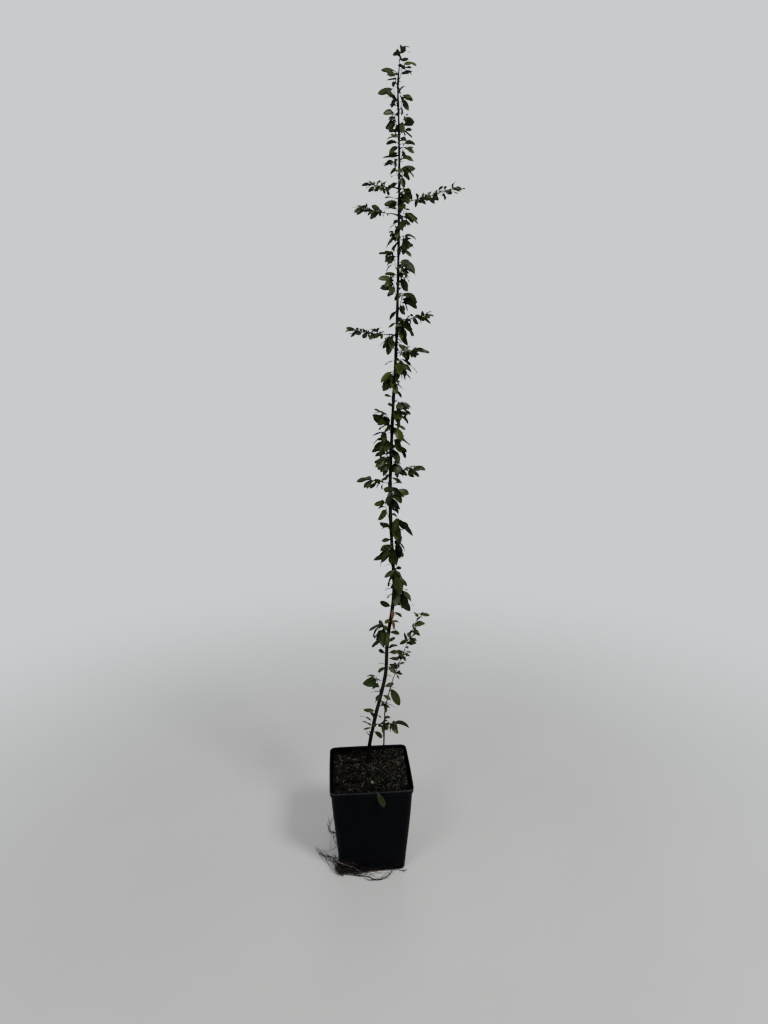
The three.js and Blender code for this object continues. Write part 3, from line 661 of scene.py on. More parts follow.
def leaf_surfaces(leaves, seed):
    """Every leaf as a closed surface, all at once.

    The midrib runs along an arc that bends down by the leaf's arch, the blade rises from it to
    both sides by its fold, its margin waves, and it turns about its midrib by its twist.
    """
    rng = np.random.default_rng(seed)
    n = len(leaves)
    root, ahead, side, face, length, slim, brown, given = (
        np.array([leaf[key] for leaf in leaves])
        for key in ("root", "ahead", "side", "face", "length", "slim", "brown", "tone"))
    arch = np.radians(rng.uniform(*VARIED["arch"], n)) * rng.choice(VARIED["bent"], n)
    fold = rng.uniform(*VARIED["fold"], n)
    twist = np.radians(rng.normal(0, VARIED["twist"], n))
    width = LEAF["width_share"] * rng.uniform(*VARIED["width"], n) * slim
    wave = rng.uniform(*VARIED["wave"], n)
    phase = rng.uniform(0, 6.28, n)
    v = LEAF_ALONG[None, :]
    length, arch, fold, twist, width, wave, phase = (
        one[:, None] for one in (length, arch, fold, twist, width, wave, phase))
    # An arc in the plane of ahead and face, that leaves at half the arch and ends at minus half.
    start = arch / 2
    span = np.where(np.abs(arch) < 1e-3, 1e-3, arch)
    slope = start - span * v
    out = length * (np.sin(start) - np.sin(slope)) / span
    lift = length * (np.cos(slope) - np.cos(start)) / span
    middle = root[:, None] + ahead[:, None] * out[..., None] + face[:, None] * lift[..., None]
    normal = face[:, None] * np.cos(slope)[..., None] - ahead[:, None] * np.sin(slope)[..., None]
    sideways = np.broadcast_to(side[:, None], normal.shape)
    cos, sin = (turned(twist * v)[..., None] for turned in (np.cos, np.sin))
    sideways, normal = sideways * cos + normal * sin, normal * cos - sideways * sin
    stalk = STALK["half"] * (1 - v * STALK["taper"])
    half = np.maximum(blade_half(v) * (length * width) / 2, stalk)
    thick = np.maximum(BLADE["thick"] * length * (1 - BLADE["taper"] * v), BLADE["thinnest"])
    thick = np.maximum(thick, STALK["thick"] * (1 - v / STALK["share"]))
    u = RING_ACROSS[None, None, :]
    on_blade = np.clip((v - STALK["share"]) * BLADE["opens"], 0, 1)[..., None]
    rise = fold[..., None] * np.abs(u) ** BLADE["cup"] * half[..., None] * on_blade
    ripple = wave * length * np.sin(v * BLADE["ripples"] + phase)
    rise = rise + ripple[..., None] * u * on_blade
    rise = rise + RING_UPPER * thick[..., None] * 0.5
    rings = (middle[:, :, None] + sideways[:, :, None] * (u * half[..., None])[..., None]
             + normal[:, :, None] * rise[..., None])
    ends = np.stack([root, middle[:, -1] + (middle[:, -1] - middle[:, -2]) * BLADE["tip"]], 1)
    verts = np.concatenate([rings.reshape(n, -1, 3), ends], 1)
    each = verts.shape[1]
    rows, columns = len(LEAF_ALONG), len(RING_ACROSS)
    faces = ring_faces(rows, columns)
    whole = [[i + k * each for i in corners] for k in range(n) for corners in faces]
    uv = np.stack(np.broadcast_arrays(RING_ACROSS / 2 + 0.5, LEAF_ALONG[:, None]), -1)
    uv = np.vstack([uv.reshape(-1, 2), [[0.5, 0.0], [0.5, 1.0]]])
    under = np.append(np.tile(0.5 - 0.5 * RING_UPPER, rows), [0.5, 0.5])
    tone = np.where(given < 0, rng.uniform(0, 1, n), given)
    values = dict(tone=np.repeat(tone, each), hue=np.repeat(rng.uniform(0, 1, n), each),
                  brown=np.repeat(brown, each), under=np.tile(under, n))
    return verts.reshape(-1, 3), whole, np.tile(uv, (n, 1)), values


def leaf_piece(name, leaves, material, seed):
    """One joined mesh of leaves."""
    verts, faces, uv, values = leaf_surfaces(leaves, seed)
    return mesh_object(name, verts, faces, material, uv, values, sharp=65)


# ---- finishes


class Value:
    """A number that varies over a surface: arithmetic on it adds Math nodes."""

    def __init__(self, finish, socket):
        self.finish, self.socket = finish, socket

    def maths(self, operation, *inputs):
        given = dict(enumerate(inputs))
        return self.finish.value("ShaderNodeMath", dict(operation=operation), given)

    def __add__(self, other):
        return self.maths("ADD", self, other)

    def __sub__(self, other):
        return self.maths("SUBTRACT", self, other)

    def __rsub__(self, other):
        return self.maths("SUBTRACT", other, self)

    def __mul__(self, other):
        return self.maths("MULTIPLY", self, other)

    def __pow__(self, other):
        return self.maths("POWER", self, other)

    __radd__, __rmul__ = __add__, __mul__

    def clamp(self, low, high):
        return self.maths("MINIMUM", self.maths("MAXIMUM", self, low), high)

    def between(self, low, high):
        """0 at low and 1 at high, with a smooth rise."""
        return self.finish.value("ShaderNodeMapRange", dict(interpolation_type="SMOOTHSTEP"),
                                 {"Value": self, "From Min": low, "From Max": high})


def add_node(tree, kind, settings, inputs):
    """A node of any type: its settings first, then the values or links of its sockets."""
    node = tree.nodes.new(kind)
    for key, setting in settings.items():
        if key == "stops":
            ramp = node.color_ramp
            while len(ramp.elements) < len(setting):
                ramp.elements.new(0.5)
            for element, (place, colour) in zip(ramp.elements, setting):
                element.position, element.color = place, (*colour, 1)
        else:
            setattr(node, key, setting)
    for key, value in inputs.items():
        socket = node.inputs[key]
        if isinstance(value, Value):
            value = value.socket
        if isinstance(value, bpy.types.NodeSocket):
            tree.links.new(value, socket)
        else:
            socket.default_value = (*value, 1) if socket.type == "RGBA" else value
    return node


def spaced(named):
    """Socket names written with _ for a space."""
    return {key.replace("_", " "): value for key, value in named.items()}


class Finish:
    """One procedural material, built up as expressions."""

    def __init__(self, name, **constants):
        self.material = bpy.data.materials.new(name)
        self.material.use_nodes = True
        self.tree = self.material.node_tree
        self.tree.nodes.clear()
        self.shader = self.node("ShaderNodeBsdfPrincipled", {}, spaced(constants))
        given = dict(Surface=self.shader.outputs[0])
        self.surface = self.node("ShaderNodeOutputMaterial", {}, given)

    def node(self, kind, settings, inputs):
        return add_node(self.tree, kind, settings, inputs)

    def value(self, kind, settings, inputs):
        """The first output of a new node, as a value."""
        return Value(self, self.node(kind, settings, inputs).outputs[0])

    def where(self):
        """Object coordinates in metres."""
        return self.node("ShaderNodeTexCoord", {}, {}).outputs["Object"]

    def place(self, scale=(1, 1, 1), turn=(0, 0, 0)):
        """Object coordinates in metres, scaled and turned by a Mapping node."""
        given = {"Vector": self.where(), "Scale": scale, "Rotation": turn}
        return self.node("ShaderNodeMapping", {}, given).outputs[0]

    def parts(self, vector):
        """The three parts of a vector, as values."""
        outputs = self.node("ShaderNodeSeparateXYZ", {}, {0: vector}).outputs
        return [Value(self, output) for output in outputs]

    def along(self, axis):
        """One of the Object coordinates, in metres."""
        return self.parts(self.where())[axis]

    def own_uv(self):
        """Where a point is across and along its leaf, or around and along its twig."""
        return self.parts(self.node("ShaderNodeUVMap", dict(uv_map="own"), {}).outputs[0])[:2]

    def attribute(self, name):
        node = self.node("ShaderNodeAttribute", dict(attribute_name=name), {})
        return Value(self, node.outputs["Fac"])

    def noise(self, vector, scale, detail=4, roughness=0.55):
        return self.value("ShaderNodeTexNoise", {}, dict(
            Vector=vector, Scale=scale, Detail=detail, Roughness=roughness))

    def cells(self, vector, scale):
        """The distance from the middle of the nearest cell."""
        return self.value("ShaderNodeTexVoronoi", {}, dict(Vector=vector, Scale=scale))

    def mix(self, factor, a, b):
        node = self.node("ShaderNodeMix", dict(data_type="RGBA"), {0: factor, 6: a, 7: b})
        return node.outputs[2]

    def ramp(self, factor, *stops):
        return self.node("ShaderNodeValToRGB", dict(stops=stops), {0: factor}).outputs[0]

    def bump(self, height, strength, distance):
        given = dict(Height=height, Strength=strength, Distance=distance)
        return self.node("ShaderNodeBump", {}, given).outputs[0]

    def set(self, **inputs):
        """Links to the shader's own sockets."""
        for key, value in spaced(inputs).items():
            given = value.socket if isinstance(value, Value) else value
            self.tree.links.new(given, self.shader.inputs[key])
        return self.material


def pot_finish():
    """Black moulded plastic: satin, with a fine grain, faint scuffs and a painted highlight that
    makes the top of the rim paler.
    """
    f = Finish("black_nursery_plastic", Specular_IOR_Level=0.05, Coat_Roughness=0.32)
    grain = f.noise(f.place(), 900, 3)
    cloud = f.noise(f.place(), 26, 5, 0.6)
    scuff = f.noise(f.place((60, 60, 700), (0.2, 0.1, 0.3)), 1.0, 6, 0.7).between(0.62, 0.75)
    height = f.along(2)
    dust = f.noise(f.place(), 140, 6, 0.7).between(0.45, 0.72) * (1 - height.between(0.0, 0.05))
    # Painted highlight: a thin band at the top of the rim is painted a paler bluish grey where it
    # catches the light. The coat weight below adds real gloss on the same band.
    rim_highlight = height.between(0.1318, 0.1342)
    colour = f.ramp(cloud, (0.3, (0.0008, 0.0011, 0.0022)), (0.75, (0.0022, 0.0029, 0.0048)))
    colour = f.mix(scuff * 0.3, colour, (0.012, 0.013, 0.016))
    colour = f.mix(dust * 0.35, colour, (0.03, 0.022, 0.016))
    # The painted rim highlight: paler bluish grey mixed into the top of the rim.
    colour = f.mix(rim_highlight * cloud.between(0.35, 0.6) * 0.4, colour, (0.02, 0.021, 0.024))
    normal = f.bump(grain, 0.18, 0.0004)
    return f.set(Base_Color=colour, Roughness=(cloud * 0.22 + 0.36 + dust * 0.25).clamp(0, 1),
                 Coat_Weight=(rim_highlight * 0.3 + scuff * 0.12).clamp(0, 1), Normal=normal)


def compost_finish():
    """Peaty compost: near black crumbs, brown fibre, and an olive film of algae to the right."""
    f = Finish("peat_compost", Specular_IOR_Level=0.08)
    crumbs = f.cells(f.place(), 620)
    fine = f.noise(f.place(), 520, 6, 0.7)
    patch = f.noise(f.place(), 60, 5, 0.65)
    colour = f.ramp(fine, (0.35, (0.0006, 0.0005, 0.0004)), (0.6, (0.003, 0.002, 0.0015)),
                    (0.85, (0.02, 0.014, 0.01)))
    green = (patch * 0.6 + f.along(0).between(-0.02, 0.06) * 0.5).between(0.45, 0.8)
    colour = f.mix(green * fine.between(0.5, 0.72), colour, (0.02, 0.021, 0.006))
    normal = f.bump(crumbs * 0.6 + fine, 0.9, 0.0012)
    return f.set(Base_Color=colour, Roughness=(fine * 0.25 + 0.72).clamp(0, 1), Normal=normal)


def bit_finish(name, dark, pale, rarity):
    """Loose bits on the compost: the higher the rarity, the fewer of them are pale."""
    f = Finish(name, Specular_IOR_Level=0.15)
    fine = f.noise(f.place((900, 900, 300)), 1.0, 5, 0.7)
    colour = f.mix(f.attribute("tone") ** rarity, dark, pale)
    colour = f.mix(fine.between(0.4, 0.75) * 0.6, colour, dark)
    normal = f.bump(fine, 0.6, 0.0006)
    return f.set(Base_Color=colour, Roughness=fine * 0.3 + 0.62, Normal=normal)


def bark_finish():
    """Firethorn bark: smooth reddish black high up, greyer and finely cracked low down."""
    f = Finish("firethorn_bark", Specular_IOR_Level=0.15)
    age = 1 - f.along(2).between(0.2, 1.0)
    fine = f.noise(f.place((1, 1, 0.35)), 900, 6, 0.7)
    patch = f.noise(f.place((1, 1, 0.3)), 120, 5, 0.6)
    pores = f.cells(f.place((1, 1, 0.55)), 420)
    colour = f.ramp(patch, (0.3, (0.004, 0.003, 0.0025)), (0.7, (0.013, 0.009, 0.007)))
    colour = f.mix(age * fine.between(0.45, 0.75) * 0.6, colour, (0.024, 0.019, 0.015))
    colour = f.mix((1 - pores.between(0.08, 0.2)) * 0.3, colour, (0.05, 0.037, 0.027))
    wood = f.ramp(fine, (0.3, (0.07, 0.05, 0.032)), (0.7, (0.2, 0.15, 0.1)))
    colour = f.mix(f.attribute("cut"), colour, wood)
    normal = f.bump(fine + pores * 0.4, 0.75, 0.0007)
    return f.set(Base_Color=colour, Roughness=(fine * 0.3 + 0.5).clamp(0, 1), Normal=normal)


def twig_finish(name, base, tip):
    """Young wood: smooth, reddish, with a fine grain along it."""
    f = Finish(name, Specular_IOR_Level=0.2)
    _, along = f.own_uv()
    fine = f.noise(f.place(), 1400, 4, 0.65)
    grain = f.mix(fine.between(0.35, 0.7), base, tuple(c * 1.9 for c in base))
    colour = f.mix(along ** 1.5, grain, tip)
    return f.set(Base_Color=colour, Roughness=fine * 0.25 + 0.42, Normal=f.bump(fine, 0.5, 0.0005))


def leaf_finish():
    """A firm leaf: dark green and satin above, duller and paler below, with a sunk midrib."""
    f = Finish("firethorn_leaf", Specular_IOR_Level=0.22)
    across, along = f.own_uv()
    off = (across - 0.5).maths("ABSOLUTE") * 2
    rib = 1 - off.between(0.03, 0.16)
    slant = (along * 9.0 - off * 1.6).maths("FRACT")
    veins = (1 - (slant - 0.5).maths("ABSOLUTE").between(0.0, 0.12)) * (1 - off.between(0.75, 1.0))
    tone, hue, brown, under = (f.attribute(key) for key in ("tone", "hue", "brown", "under"))
    mottle = f.noise(f.place(), 420, 5, 0.65)
    colour = f.ramp(tone, (0.0, (0.0100, 0.0185, 0.0025)), (0.45, (0.0190, 0.0305, 0.0040)),
                    (0.8, (0.032, 0.045, 0.0055)), (1.0, (0.048, 0.062, 0.0075)))
    young = f.along(2).between(0.75, 1.05)
    colour = f.mix(young * 0.5, colour, (0.046, 0.055, 0.021))
    colour = f.mix(hue.between(0.7, 1.0) * 0.5, colour, (0.03, 0.03, 0.009))
    colour = f.mix(mottle.between(0.4, 0.75) * 0.35, colour, (0.005, 0.009, 0.003))
    colour = f.mix(rib * 0.4 + veins * 0.1, colour, (0.05, 0.06, 0.022))
    colour = f.mix(under.between(0.55, 0.9) * 0.7, colour, (0.04, 0.052, 0.024))
    autumn = f.ramp(mottle, (0.3, (0.06, 0.024, 0.006)), (0.7, (0.15, 0.062, 0.014)))
    colour = f.mix(brown, colour, autumn)
    normal = f.bump(1 - rib * 0.8 - veins * 0.35 + mottle * 0.25, 0.6, 0.0004)
    rough = (mottle * 0.2 + 0.34 + under * 0.15).clamp(0, 1)
    return f.set(Base_Color=colour, Roughness=rough, Normal=normal)


def root_finish():
    """Fine dry roots: brown and fibrous."""
    f = Finish("fine_root")
    fine = f.noise(f.place(), 700, 5, 0.7)
    colour = f.ramp(f.attribute("tone"), (0.2, (0.0014, 0.0007, 0.0005)),
                    (0.75, (0.036, 0.0135, 0.0075)), (1.0, (0.34, 0.29, 0.26)))
    colour = f.mix(fine.between(0.4, 0.7) * 0.5, colour, (0.004, 0.0022, 0.0015))
    return f.set(Base_Color=colour, Roughness=fine * 0.2 + 0.68, Normal=f.bump(fine, 0.6, 0.0004))


# ---- pot and compost


def square_ring(arc, straight):
    """A rounded square's ring, as anchors and directions.

    A point is its anchor times (half side - corner radius) plus its direction times the radius:
    round a corner the anchor stays and the direction turns, along a side it is the other way.
    """
    anchors, directions = [], []
    for quarter in range(4):
        turn = np.radians(quarter * 90 + np.linspace(0, 90, arc))
        corner, following = (math.sqrt(2) * np.array([math.cos(a), math.sin(a)])
                             for a in np.radians([quarter * 90 + 45, quarter * 90 + 135]))
        share = np.linspace(0, 1, straight + 2)[1:-1, None]
        anchors += [np.broadcast_to(corner, (arc, 2)), corner + (following - corner) * share]
        directions += [np.stack([np.cos(turn), np.sin(turn)], -1),
                       np.broadcast_to([math.cos(turn[-1]), math.sin(turn[-1])], (straight, 2))]
    return np.vstack(anchors), np.vstack(directions)


def square_loft(profile, arc, straight, bulge=0.0):
    """Rings of a rounded square through a profile of height, side and corner radius.

    Each side bulges by bulge * (1 - s * s), where s runs from -1 to 1 along it.
    """
    anchors, directions = square_ring(arc, straight)
    height, side, radius = np.array(profile, float).T
    across = np.abs(np.cross(directions, anchors))
    out = directions * (1 - np.minimum(across, 1) ** 2)[:, None]
    flat = (anchors * (side / 2 - radius)[:, None, None] + directions * radius[:, None, None]
            + out * bulge)
    return np.concatenate([flat, np.broadcast_to(height[:, None, None], (*flat.shape[:2], 1))], -1)


def wall_side(height):
    """The side of the pot's wall, from its foot to the rim band."""
    return POT["foot"] + (POT["under_band"] - POT["foot"]) * height / (POT["height"] - POT["band"])


def pot_piece(finish):
    """The moulded pot: under a hollow foot, up the wall, over the rolled rim and down inside."""
    share, top, band = POT["corner"], POT["height"], POT["height"] - POT["band"]
    rim, wall = POT["rim"], 2 * POT["wall"]
    profile = [(1.0, 70, 6), (1.0, 84, 7), (0.0, 86, 7.4), (0.0, POT["foot"] - 2.4, 7.6),
               (0.5, POT["foot"] - 0.9, 8.0), (1.6, POT["foot"] + 0.1, 8.2)]
    profile += [(h, wall_side(h), wall_side(h) * share) for h in np.linspace(5, band - 1.5, 13)]
    profile += [(band - 0.2, wall_side(band) + 0.1, 10.0), (band + 0.4, rim - 2.6, 10.2),
                (band + 1.2, rim - 1.3, 10.4), (band + 3, rim - 0.9, 10.4),
                (top - 1.4, rim - 0.2, 10.4), (top - 0.5, rim, 10.4), (top, rim - 0.8, 10.0),
                (top, rim - 2.2, 9.4), (top - 0.6, rim - 3.2, 9.0), (top - 3, rim - wall, 8.8),
                (band, wall_side(band) - wall, 8.4)]
    profile += [(h, wall_side(h) - wall, wall_side(h) * share - wall / 2) for h in (90, 45, 12, 5)]
    floor, side = POT["floor"], wall_side(3) - wall
    profile += [(floor + 0.6, side - 1.2, 5.6), (floor, side - 3, 5.0), (floor, 80, 4.8)]
    rings = square_loft(profile, arc=8, straight=11, bulge=0.5)
    height = rings[..., 2]
    fade = np.clip(height / 40, 0, 1) * np.clip((band - height) / 30, 0, 1)
    dent = waves(rings, size=90, count=8, seed=3) * 0.35 * fade
    outward = rings[..., :2] / np.linalg.norm(rings[..., :2], axis=-1, keepdims=True)
    rings[..., :2] += outward * dent[..., None]
    verts, faces = closed_rings(rings)
    piece = mesh_object("pot_shell", verts, faces, finish, sharp=38)
    holes = Bundle()
    for x in (-POT["drain_place"], POT["drain_place"]):
        for y in (-POT["drain_place"], POT["drain_place"]):
            path = [[x, y, -2.0], [x, y, 1.4], [x, y, POT["floor"] + 2]]
            holes.tube(path, [POT["drain_radius"]] * 3, 20)
    cutter = holes.piece("drain_cutter", finish)
    cut = piece.modifiers.new("drain", "BOOLEAN")
    cut.operation, cut.solver, cut.object = "DIFFERENCE", "EXACT", cutter
    graph = bpy.context.evaluated_depsgraph_get()
    shaped = bpy.data.meshes.new_from_object(piece.evaluated_get(graph))
    piece.modifiers.clear()
    piece.data = shaped
    bpy.data.objects.remove(cutter)
    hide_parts("pot")


COMPOST_REACH = wall_side(COMPOST_TOP) / 2 - POT["wall"] - 0.5
LUMPS = [(1.3, 34, 9, 11), (0.8, 13, 12, 12), (0.35, 5, 16, 13)]  # height, size, count and seed
SETTLED = dict(below=0.8, lowest=-3.0, highest=3.2, edge=6, sunk=1.2, heap=66, rise=5.6)


def compost_height(places):
    """How high the compost lies: lumps of three sizes, heaped up towards the back and the right.

    The lumps are flatter near the wall and up the heap. The compost sinks over the last stretch
    to the wall, less where it is heaped, and rises with the heap.
    """
    s = SETTLED
    places = np.asarray(places, float)
    lumps = sum(height * waves(places, size, count, seed) for height, size, count, seed in LUMPS)
    edge = np.clip((np.abs(places).max(-1) - (COMPOST_REACH - s["edge"])) / s["edge"], 0, 1)
    heap = np.clip((places[..., 0] * 0.4 + places[..., 1] * 0.9) / s["heap"], 0, 1)
    lumps = np.clip(lumps, s["lowest"], s["highest"]) * (1 - 0.6 * edge) * (1 - 0.4 * heap)
    return COMPOST_TOP - s["below"] + lumps - s["sunk"] * edge * (1 - heap) + s["rise"] * heap


def compost_piece(finish):
    """The compost: a block that fills the pot, with a lumpy top made of ever smaller rings."""
    floor, side = POT["floor"] + GAP, wall_side(4)
    profile = [(floor, side - 8, 5), (floor + 2, side - 6, 5)]
    profile += [(h, wall_side(h) - 2 * POT["wall"] - 2 * GAP, 7) for h in (40, 80, 112, 120)]
    below = len(profile)
    profile += [(COMPOST_TOP, 2 * COMPOST_REACH * s, max(0.4, 7.4 * s))
                for s in np.linspace(1, 0.012, 74)]
    rings = square_loft(profile, arc=7, straight=35)
    rings[below:, :, 2] = compost_height(rings[below:, :, :2])
    verts, faces = closed_rings(rings)
    piece = mesh_object("compost_bed", verts, faces, finish)
    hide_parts("compost")


def lump_shape():
    """The twelve corners and twenty faces of an icosahedron of radius 1."""
    long = (1 + math.sqrt(5)) / 2
    pairs = [(a, b * long) for a in (-1, 1) for b in (-1, 1)]
    corners = [(0, a, b) for a, b in pairs] + [(a, b, 0) for a, b in pairs]
    corners = unit(np.array(corners + [(b, 0, a) for a, b in pairs], float))
    gaps = np.linalg.norm(corners[:, None] - corners[None], axis=2)
    near = (gaps > 0.1) & (gaps < 1.1)
    faces = []
    for i, j, k in itertools.combinations(range(12), 3):
        if near[i, j] and near[j, k] and near[i, k]:
            a, b, c = corners[[i, j, k]]
            faces.append((i, j, k) if np.dot(np.cross(b - a, c - a), a) > 0 else (k, j, i))
    return corners, np.array(faces)


def scattered_bits(name, places, sizes, flatness, roughness, material, seed):
    """Angular bits at the given places: an icosahedron stretched, roughened and turned for each."""
    rng = np.random.default_rng(seed)
    corners, faces = lump_shape()
    n = len(places)
    stretch = np.stack([np.ones(n), *(rng.uniform(*limits, n) for limits in flatness)], -1)
    shape = corners[None] * rng.uniform(1 - roughness, 1 + roughness, (n, 12, 1))
    shape = shape * stretch[:, None] * np.asarray(sizes)[:, None, None] / 2
    turn = rng.uniform(0, 2 * np.pi, n)
    x, y = rng.normal(0, 0.35, (n, 2)).T
    cos, sin = np.cos(turn), np.sin(turn)
    zero, one = np.zeros(n), np.ones(n)
    # A lean, then a turn about the upright.
    for matrix in ([one, zero, x, zero, one, y, -x, -y, one],
                   [cos, -sin, zero, sin, cos, zero, zero, zero, one]):
        shape = np.einsum("nij,nkj->nki", np.stack(matrix, -1).reshape(n, 3, 3), shape)
    verts = (shape + np.asarray(places)[:, None]).reshape(-1, 3)
    whole = (faces[None] + np.arange(n)[:, None, None] * 12).reshape(-1, 3).tolist()
    tone = np.repeat(rng.uniform(0, 1, n), 12)
    piece = mesh_object(name, verts, whole, material, values=dict(tone=tone), sharp=40)


def on_compost(count, seed, middle=(0.0, 0.0), spread=(60.0, 60.0), lift=0.2, margin=3.0):
    """Places on the compost, gathered about a middle, that keep a margin from the pot's wall."""
    rng = np.random.default_rng(seed)
    flat = rng.normal(0, 1, (count * 4, 2)) * spread + middle
    flat = flat[(np.abs(flat) < COMPOST_REACH - margin).all(1)][:count]
    return np.column_stack([flat, compost_height(flat) + lift])


def compost_dressing():
    """Crumbs, reddish bark to the back left, pale grit, moss to the right, fibres and a pellet."""
    rng = np.random.default_rng(40)
    # Name, material, where they lie, their sizes, how flat and how rough they are.
    kinds = [
        ("peat_crumbs",
         bit_finish("peat_crumb", (0.0004, 0.0003, 0.0003), (0.024, 0.0168, 0.012), 5),
         dict(count=2600, margin=1.6), lambda n: rng.gamma(3, 0.75, n) + 0.8,
         ((0.5, 1), (0.4, 0.8)), 0.25),
        ("bark_chips",
         bit_finish("bark_chip", (0.0016, 0.0008, 0.0008), (0.1, 0.064, 0.062), 4),
         dict(count=85, middle=(-25, 27), spread=(17, 13), lift=0.9, margin=5.5),
         lambda n: rng.uniform(4, 11, n), ((0.35, 0.6), (0.16, 0.3)), 0.22),
        ("pale_grit",
         bit_finish("pale_grit", (0.02, 0.019, 0.016), (0.3, 0.29, 0.26), 1.8),
         dict(count=150, lift=0.6), lambda n: rng.uniform(0.8, 2.4, n),
         ((0.6, 1), (0.5, 0.9)), 0.2),
        ("moss_tufts",
         bit_finish("moss_cushion", (0.0008, 0.0008, 0.0005), (0.15, 0.145, 0.095), 4.5),
         dict(count=3400, middle=(36, 16), spread=(24, 38), lift=0.6, margin=1.4),
         lambda n: rng.uniform(0.7, 2.1, n), ((0.6, 1), (0.6, 1)), 0.3),
    ]
    for k, (name, finish, where, sizes, flatness, roughness) in enumerate(kinds):
        places = on_compost(seed=41 + 2 * k, **where)
        scattered_bits(name, places, sizes(len(places)), flatness, roughness, finish, 42 + 2 * k)
    fibres = Bundle()
    for start in on_compost(170, 49):
        turn, long = rng.uniform(0, 360), rng.uniform(4, 13)
        path = start + heading(turn, 0) * np.linspace(-0.5, 0.5, 5)[:, None] * long
        path[:, :2] += rng.normal(0, long * 0.05, (5, 2))
        path[:, :2] = np.clip(path[:, :2], 3 - COMPOST_REACH, COMPOST_REACH - 3)
        path[:, 2] = compost_height(path[:, :2]) + rng.uniform(0.4, 1.4)
        radii = np.array([0.2, 0.45, 0.5, 0.42, 0.15]) * rng.uniform(0.5, 1.2)
        fibres.tube(path, radii, 4, tone=rng.uniform(0, 1))
    finish = bit_finish("wood_fibre", (0.0015, 0.001, 0.0008), (0.22, 0.19, 0.165), 4)
    piece = fibres.piece("wood_fibres", finish)
    finish = bit_finish("pellet_skin", (0.12, 0.135, 0.08), (0.24, 0.265, 0.17), 1)
    place = on_compost(3, 50, (1, -28), (1.5, 1.5), 1.2)[:1]
    scattered_bits("green_pellet", place, [5.4], ((0.9, 1), (0.9, 1)), 0.03, finish, 51)


# ---- stems, thorns and roots


BARK = dict(sunk=5, ridges=0.045, ridge_size=4.5, around=3, up=7, lobes=0.16, lobes_reach=22,
            flare=0.3, flare_reach=8, node_reach=2.2)


def bark_surface(stations, rows, columns, nodes, seed):
    """A stem as level rings, from inside the compost to its top.

    Its radius is the station's, times ridges that run up it, four lobes that fade out above its
    foot and a flare below it, plus a swelling at each node that is largest on the node's side.
    """
    foot = stations[0][0]
    level = np.linspace(COMPOST_TOP - BARK["sunk"], stations[-1][0], rows)[:, None]
    x, y, radius = (values[:, None] for values in station_at(stations, level[:, 0]).T)
    angle = np.arange(columns) * 2 * np.pi / columns
    cos, sin = np.cos(angle), np.sin(angle)
    around = BARK["around"]
    places = np.stack(np.broadcast_arrays(cos * around, sin * around, level / BARK["up"]), -1)
    ridges = BARK["ridges"] * waves(places, BARK["ridge_size"], 10, seed)
    lobes = BARK["lobes"] * np.clip(1 - (level - foot) / BARK["lobes_reach"], 0, 1)
    flare = BARK["flare"] * np.clip((foot - level) / BARK["flare_reach"], 0, 1)
    radius = radius * (1 + ridges + lobes * np.cos(angle * 4 + 0.6) + flare)
    for height, azimuth, size in nodes:
        around = (np.cos(angle - math.radians(azimuth)) + 1) / 2
        near = np.exp(-(((level - height) / (BARK["node_reach"] + size * 3)) ** 2))
        radius = radius + size * near * (0.35 + 0.65 * around**3)
    return np.stack(np.broadcast_arrays(x + radius * cos, y + radius * sin, level), -1)


def stems(finish):
    """The leader with its pruned stub, and the thin second stem behind it."""
    draw = Draws(SEED + 1)
    nodes = [(row[0] - 1.5, row[1], 0.42) for row in TUFTS]
    nodes += [(bough[1], bough[2], 0.5) for bough in BOUGHS]
    nodes += [(draw(330, 1110), draw(0, 360), draw(0.12, 0.3)) for _ in range(70)]
    sides = 14
    leader = Bundle()
    rings = bark_surface(LEADER, rows=1150, columns=sides, nodes=nodes, seed=5)
    leader.add(*closed_rings(rings), cut=0.0)
    middle, _ = stem_place(LEADER, STUB["height"])
    share = np.array([0, 0.2, 0.4, 0.6, 0.8, 0.94, 0.985, 1.0])
    path = middle + heading(STUB["azimuth"], STUB["rise"]) * STUB["length"] * share[:, None]
    knots = np.array([1, 1, 1.03, 0.98, 1.05, 1.06, 0.98, 0.8])
    radii = (STUB["radius"] + (STUB["tip"] - STUB["radius"]) * share) * knots
    cut = np.append(np.repeat(np.clip((share - 0.97) * 40, 0, 1), sides), [0, 1])
    leader.add(*closed_rings(tube_rings(path, radii, sides)), cut=cut)
    piece = leader.piece("main_stem_bark", finish, sharp=50)
    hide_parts("main_stem")
    nodes = [(draw(150, 258), draw(0, 360), draw(0.1, 0.25)) for _ in range(10)]
    second = Bundle()
    rings = bark_surface(SECOND_STEM, rows=200, columns=10, nodes=nodes, seed=6)
    second.add(*closed_rings(rings), cut=0.0)
    piece = second.piece("second_stem_bark", finish, sharp=50)
    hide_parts("second_stem")


def boughs(finish):
    """The five side boughs, each from inside the leader to its leafy shoot."""
    wood = Bundle()
    share = np.linspace(0, 1, 18)
    for bough in BOUGHS:
        line = bough_line(*bough)
        middle, _ = stem_place(LEADER, bough[1])
        path = np.vstack([middle, line(share)])
        radii = np.append(BOUGH["root"], BOUGH["root"] + (BOUGH["tip"] - BOUGH["root"]) * share)
        turn = np.arange(len(path)) * BOUGH["knot_pace"] + bough[1]
        wood.tube(path, radii * (1 + BOUGH["knots"] * np.sin(turn)), BOUGH["sides"])
    piece = wood.piece("side_boughs", finish)
    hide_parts(*(f"{bough[0]}_bough" for bough in BOUGHS))


# The wood of a tuft: points along its stem and its side twigs, their sides, and the taper and
# knots of their radius.
WOOD = dict(points=9, side_points=4, sides=7, side_sides=5, thinner=0.62, knots=0.14,
            knot_pace=2.7, point=0.16)


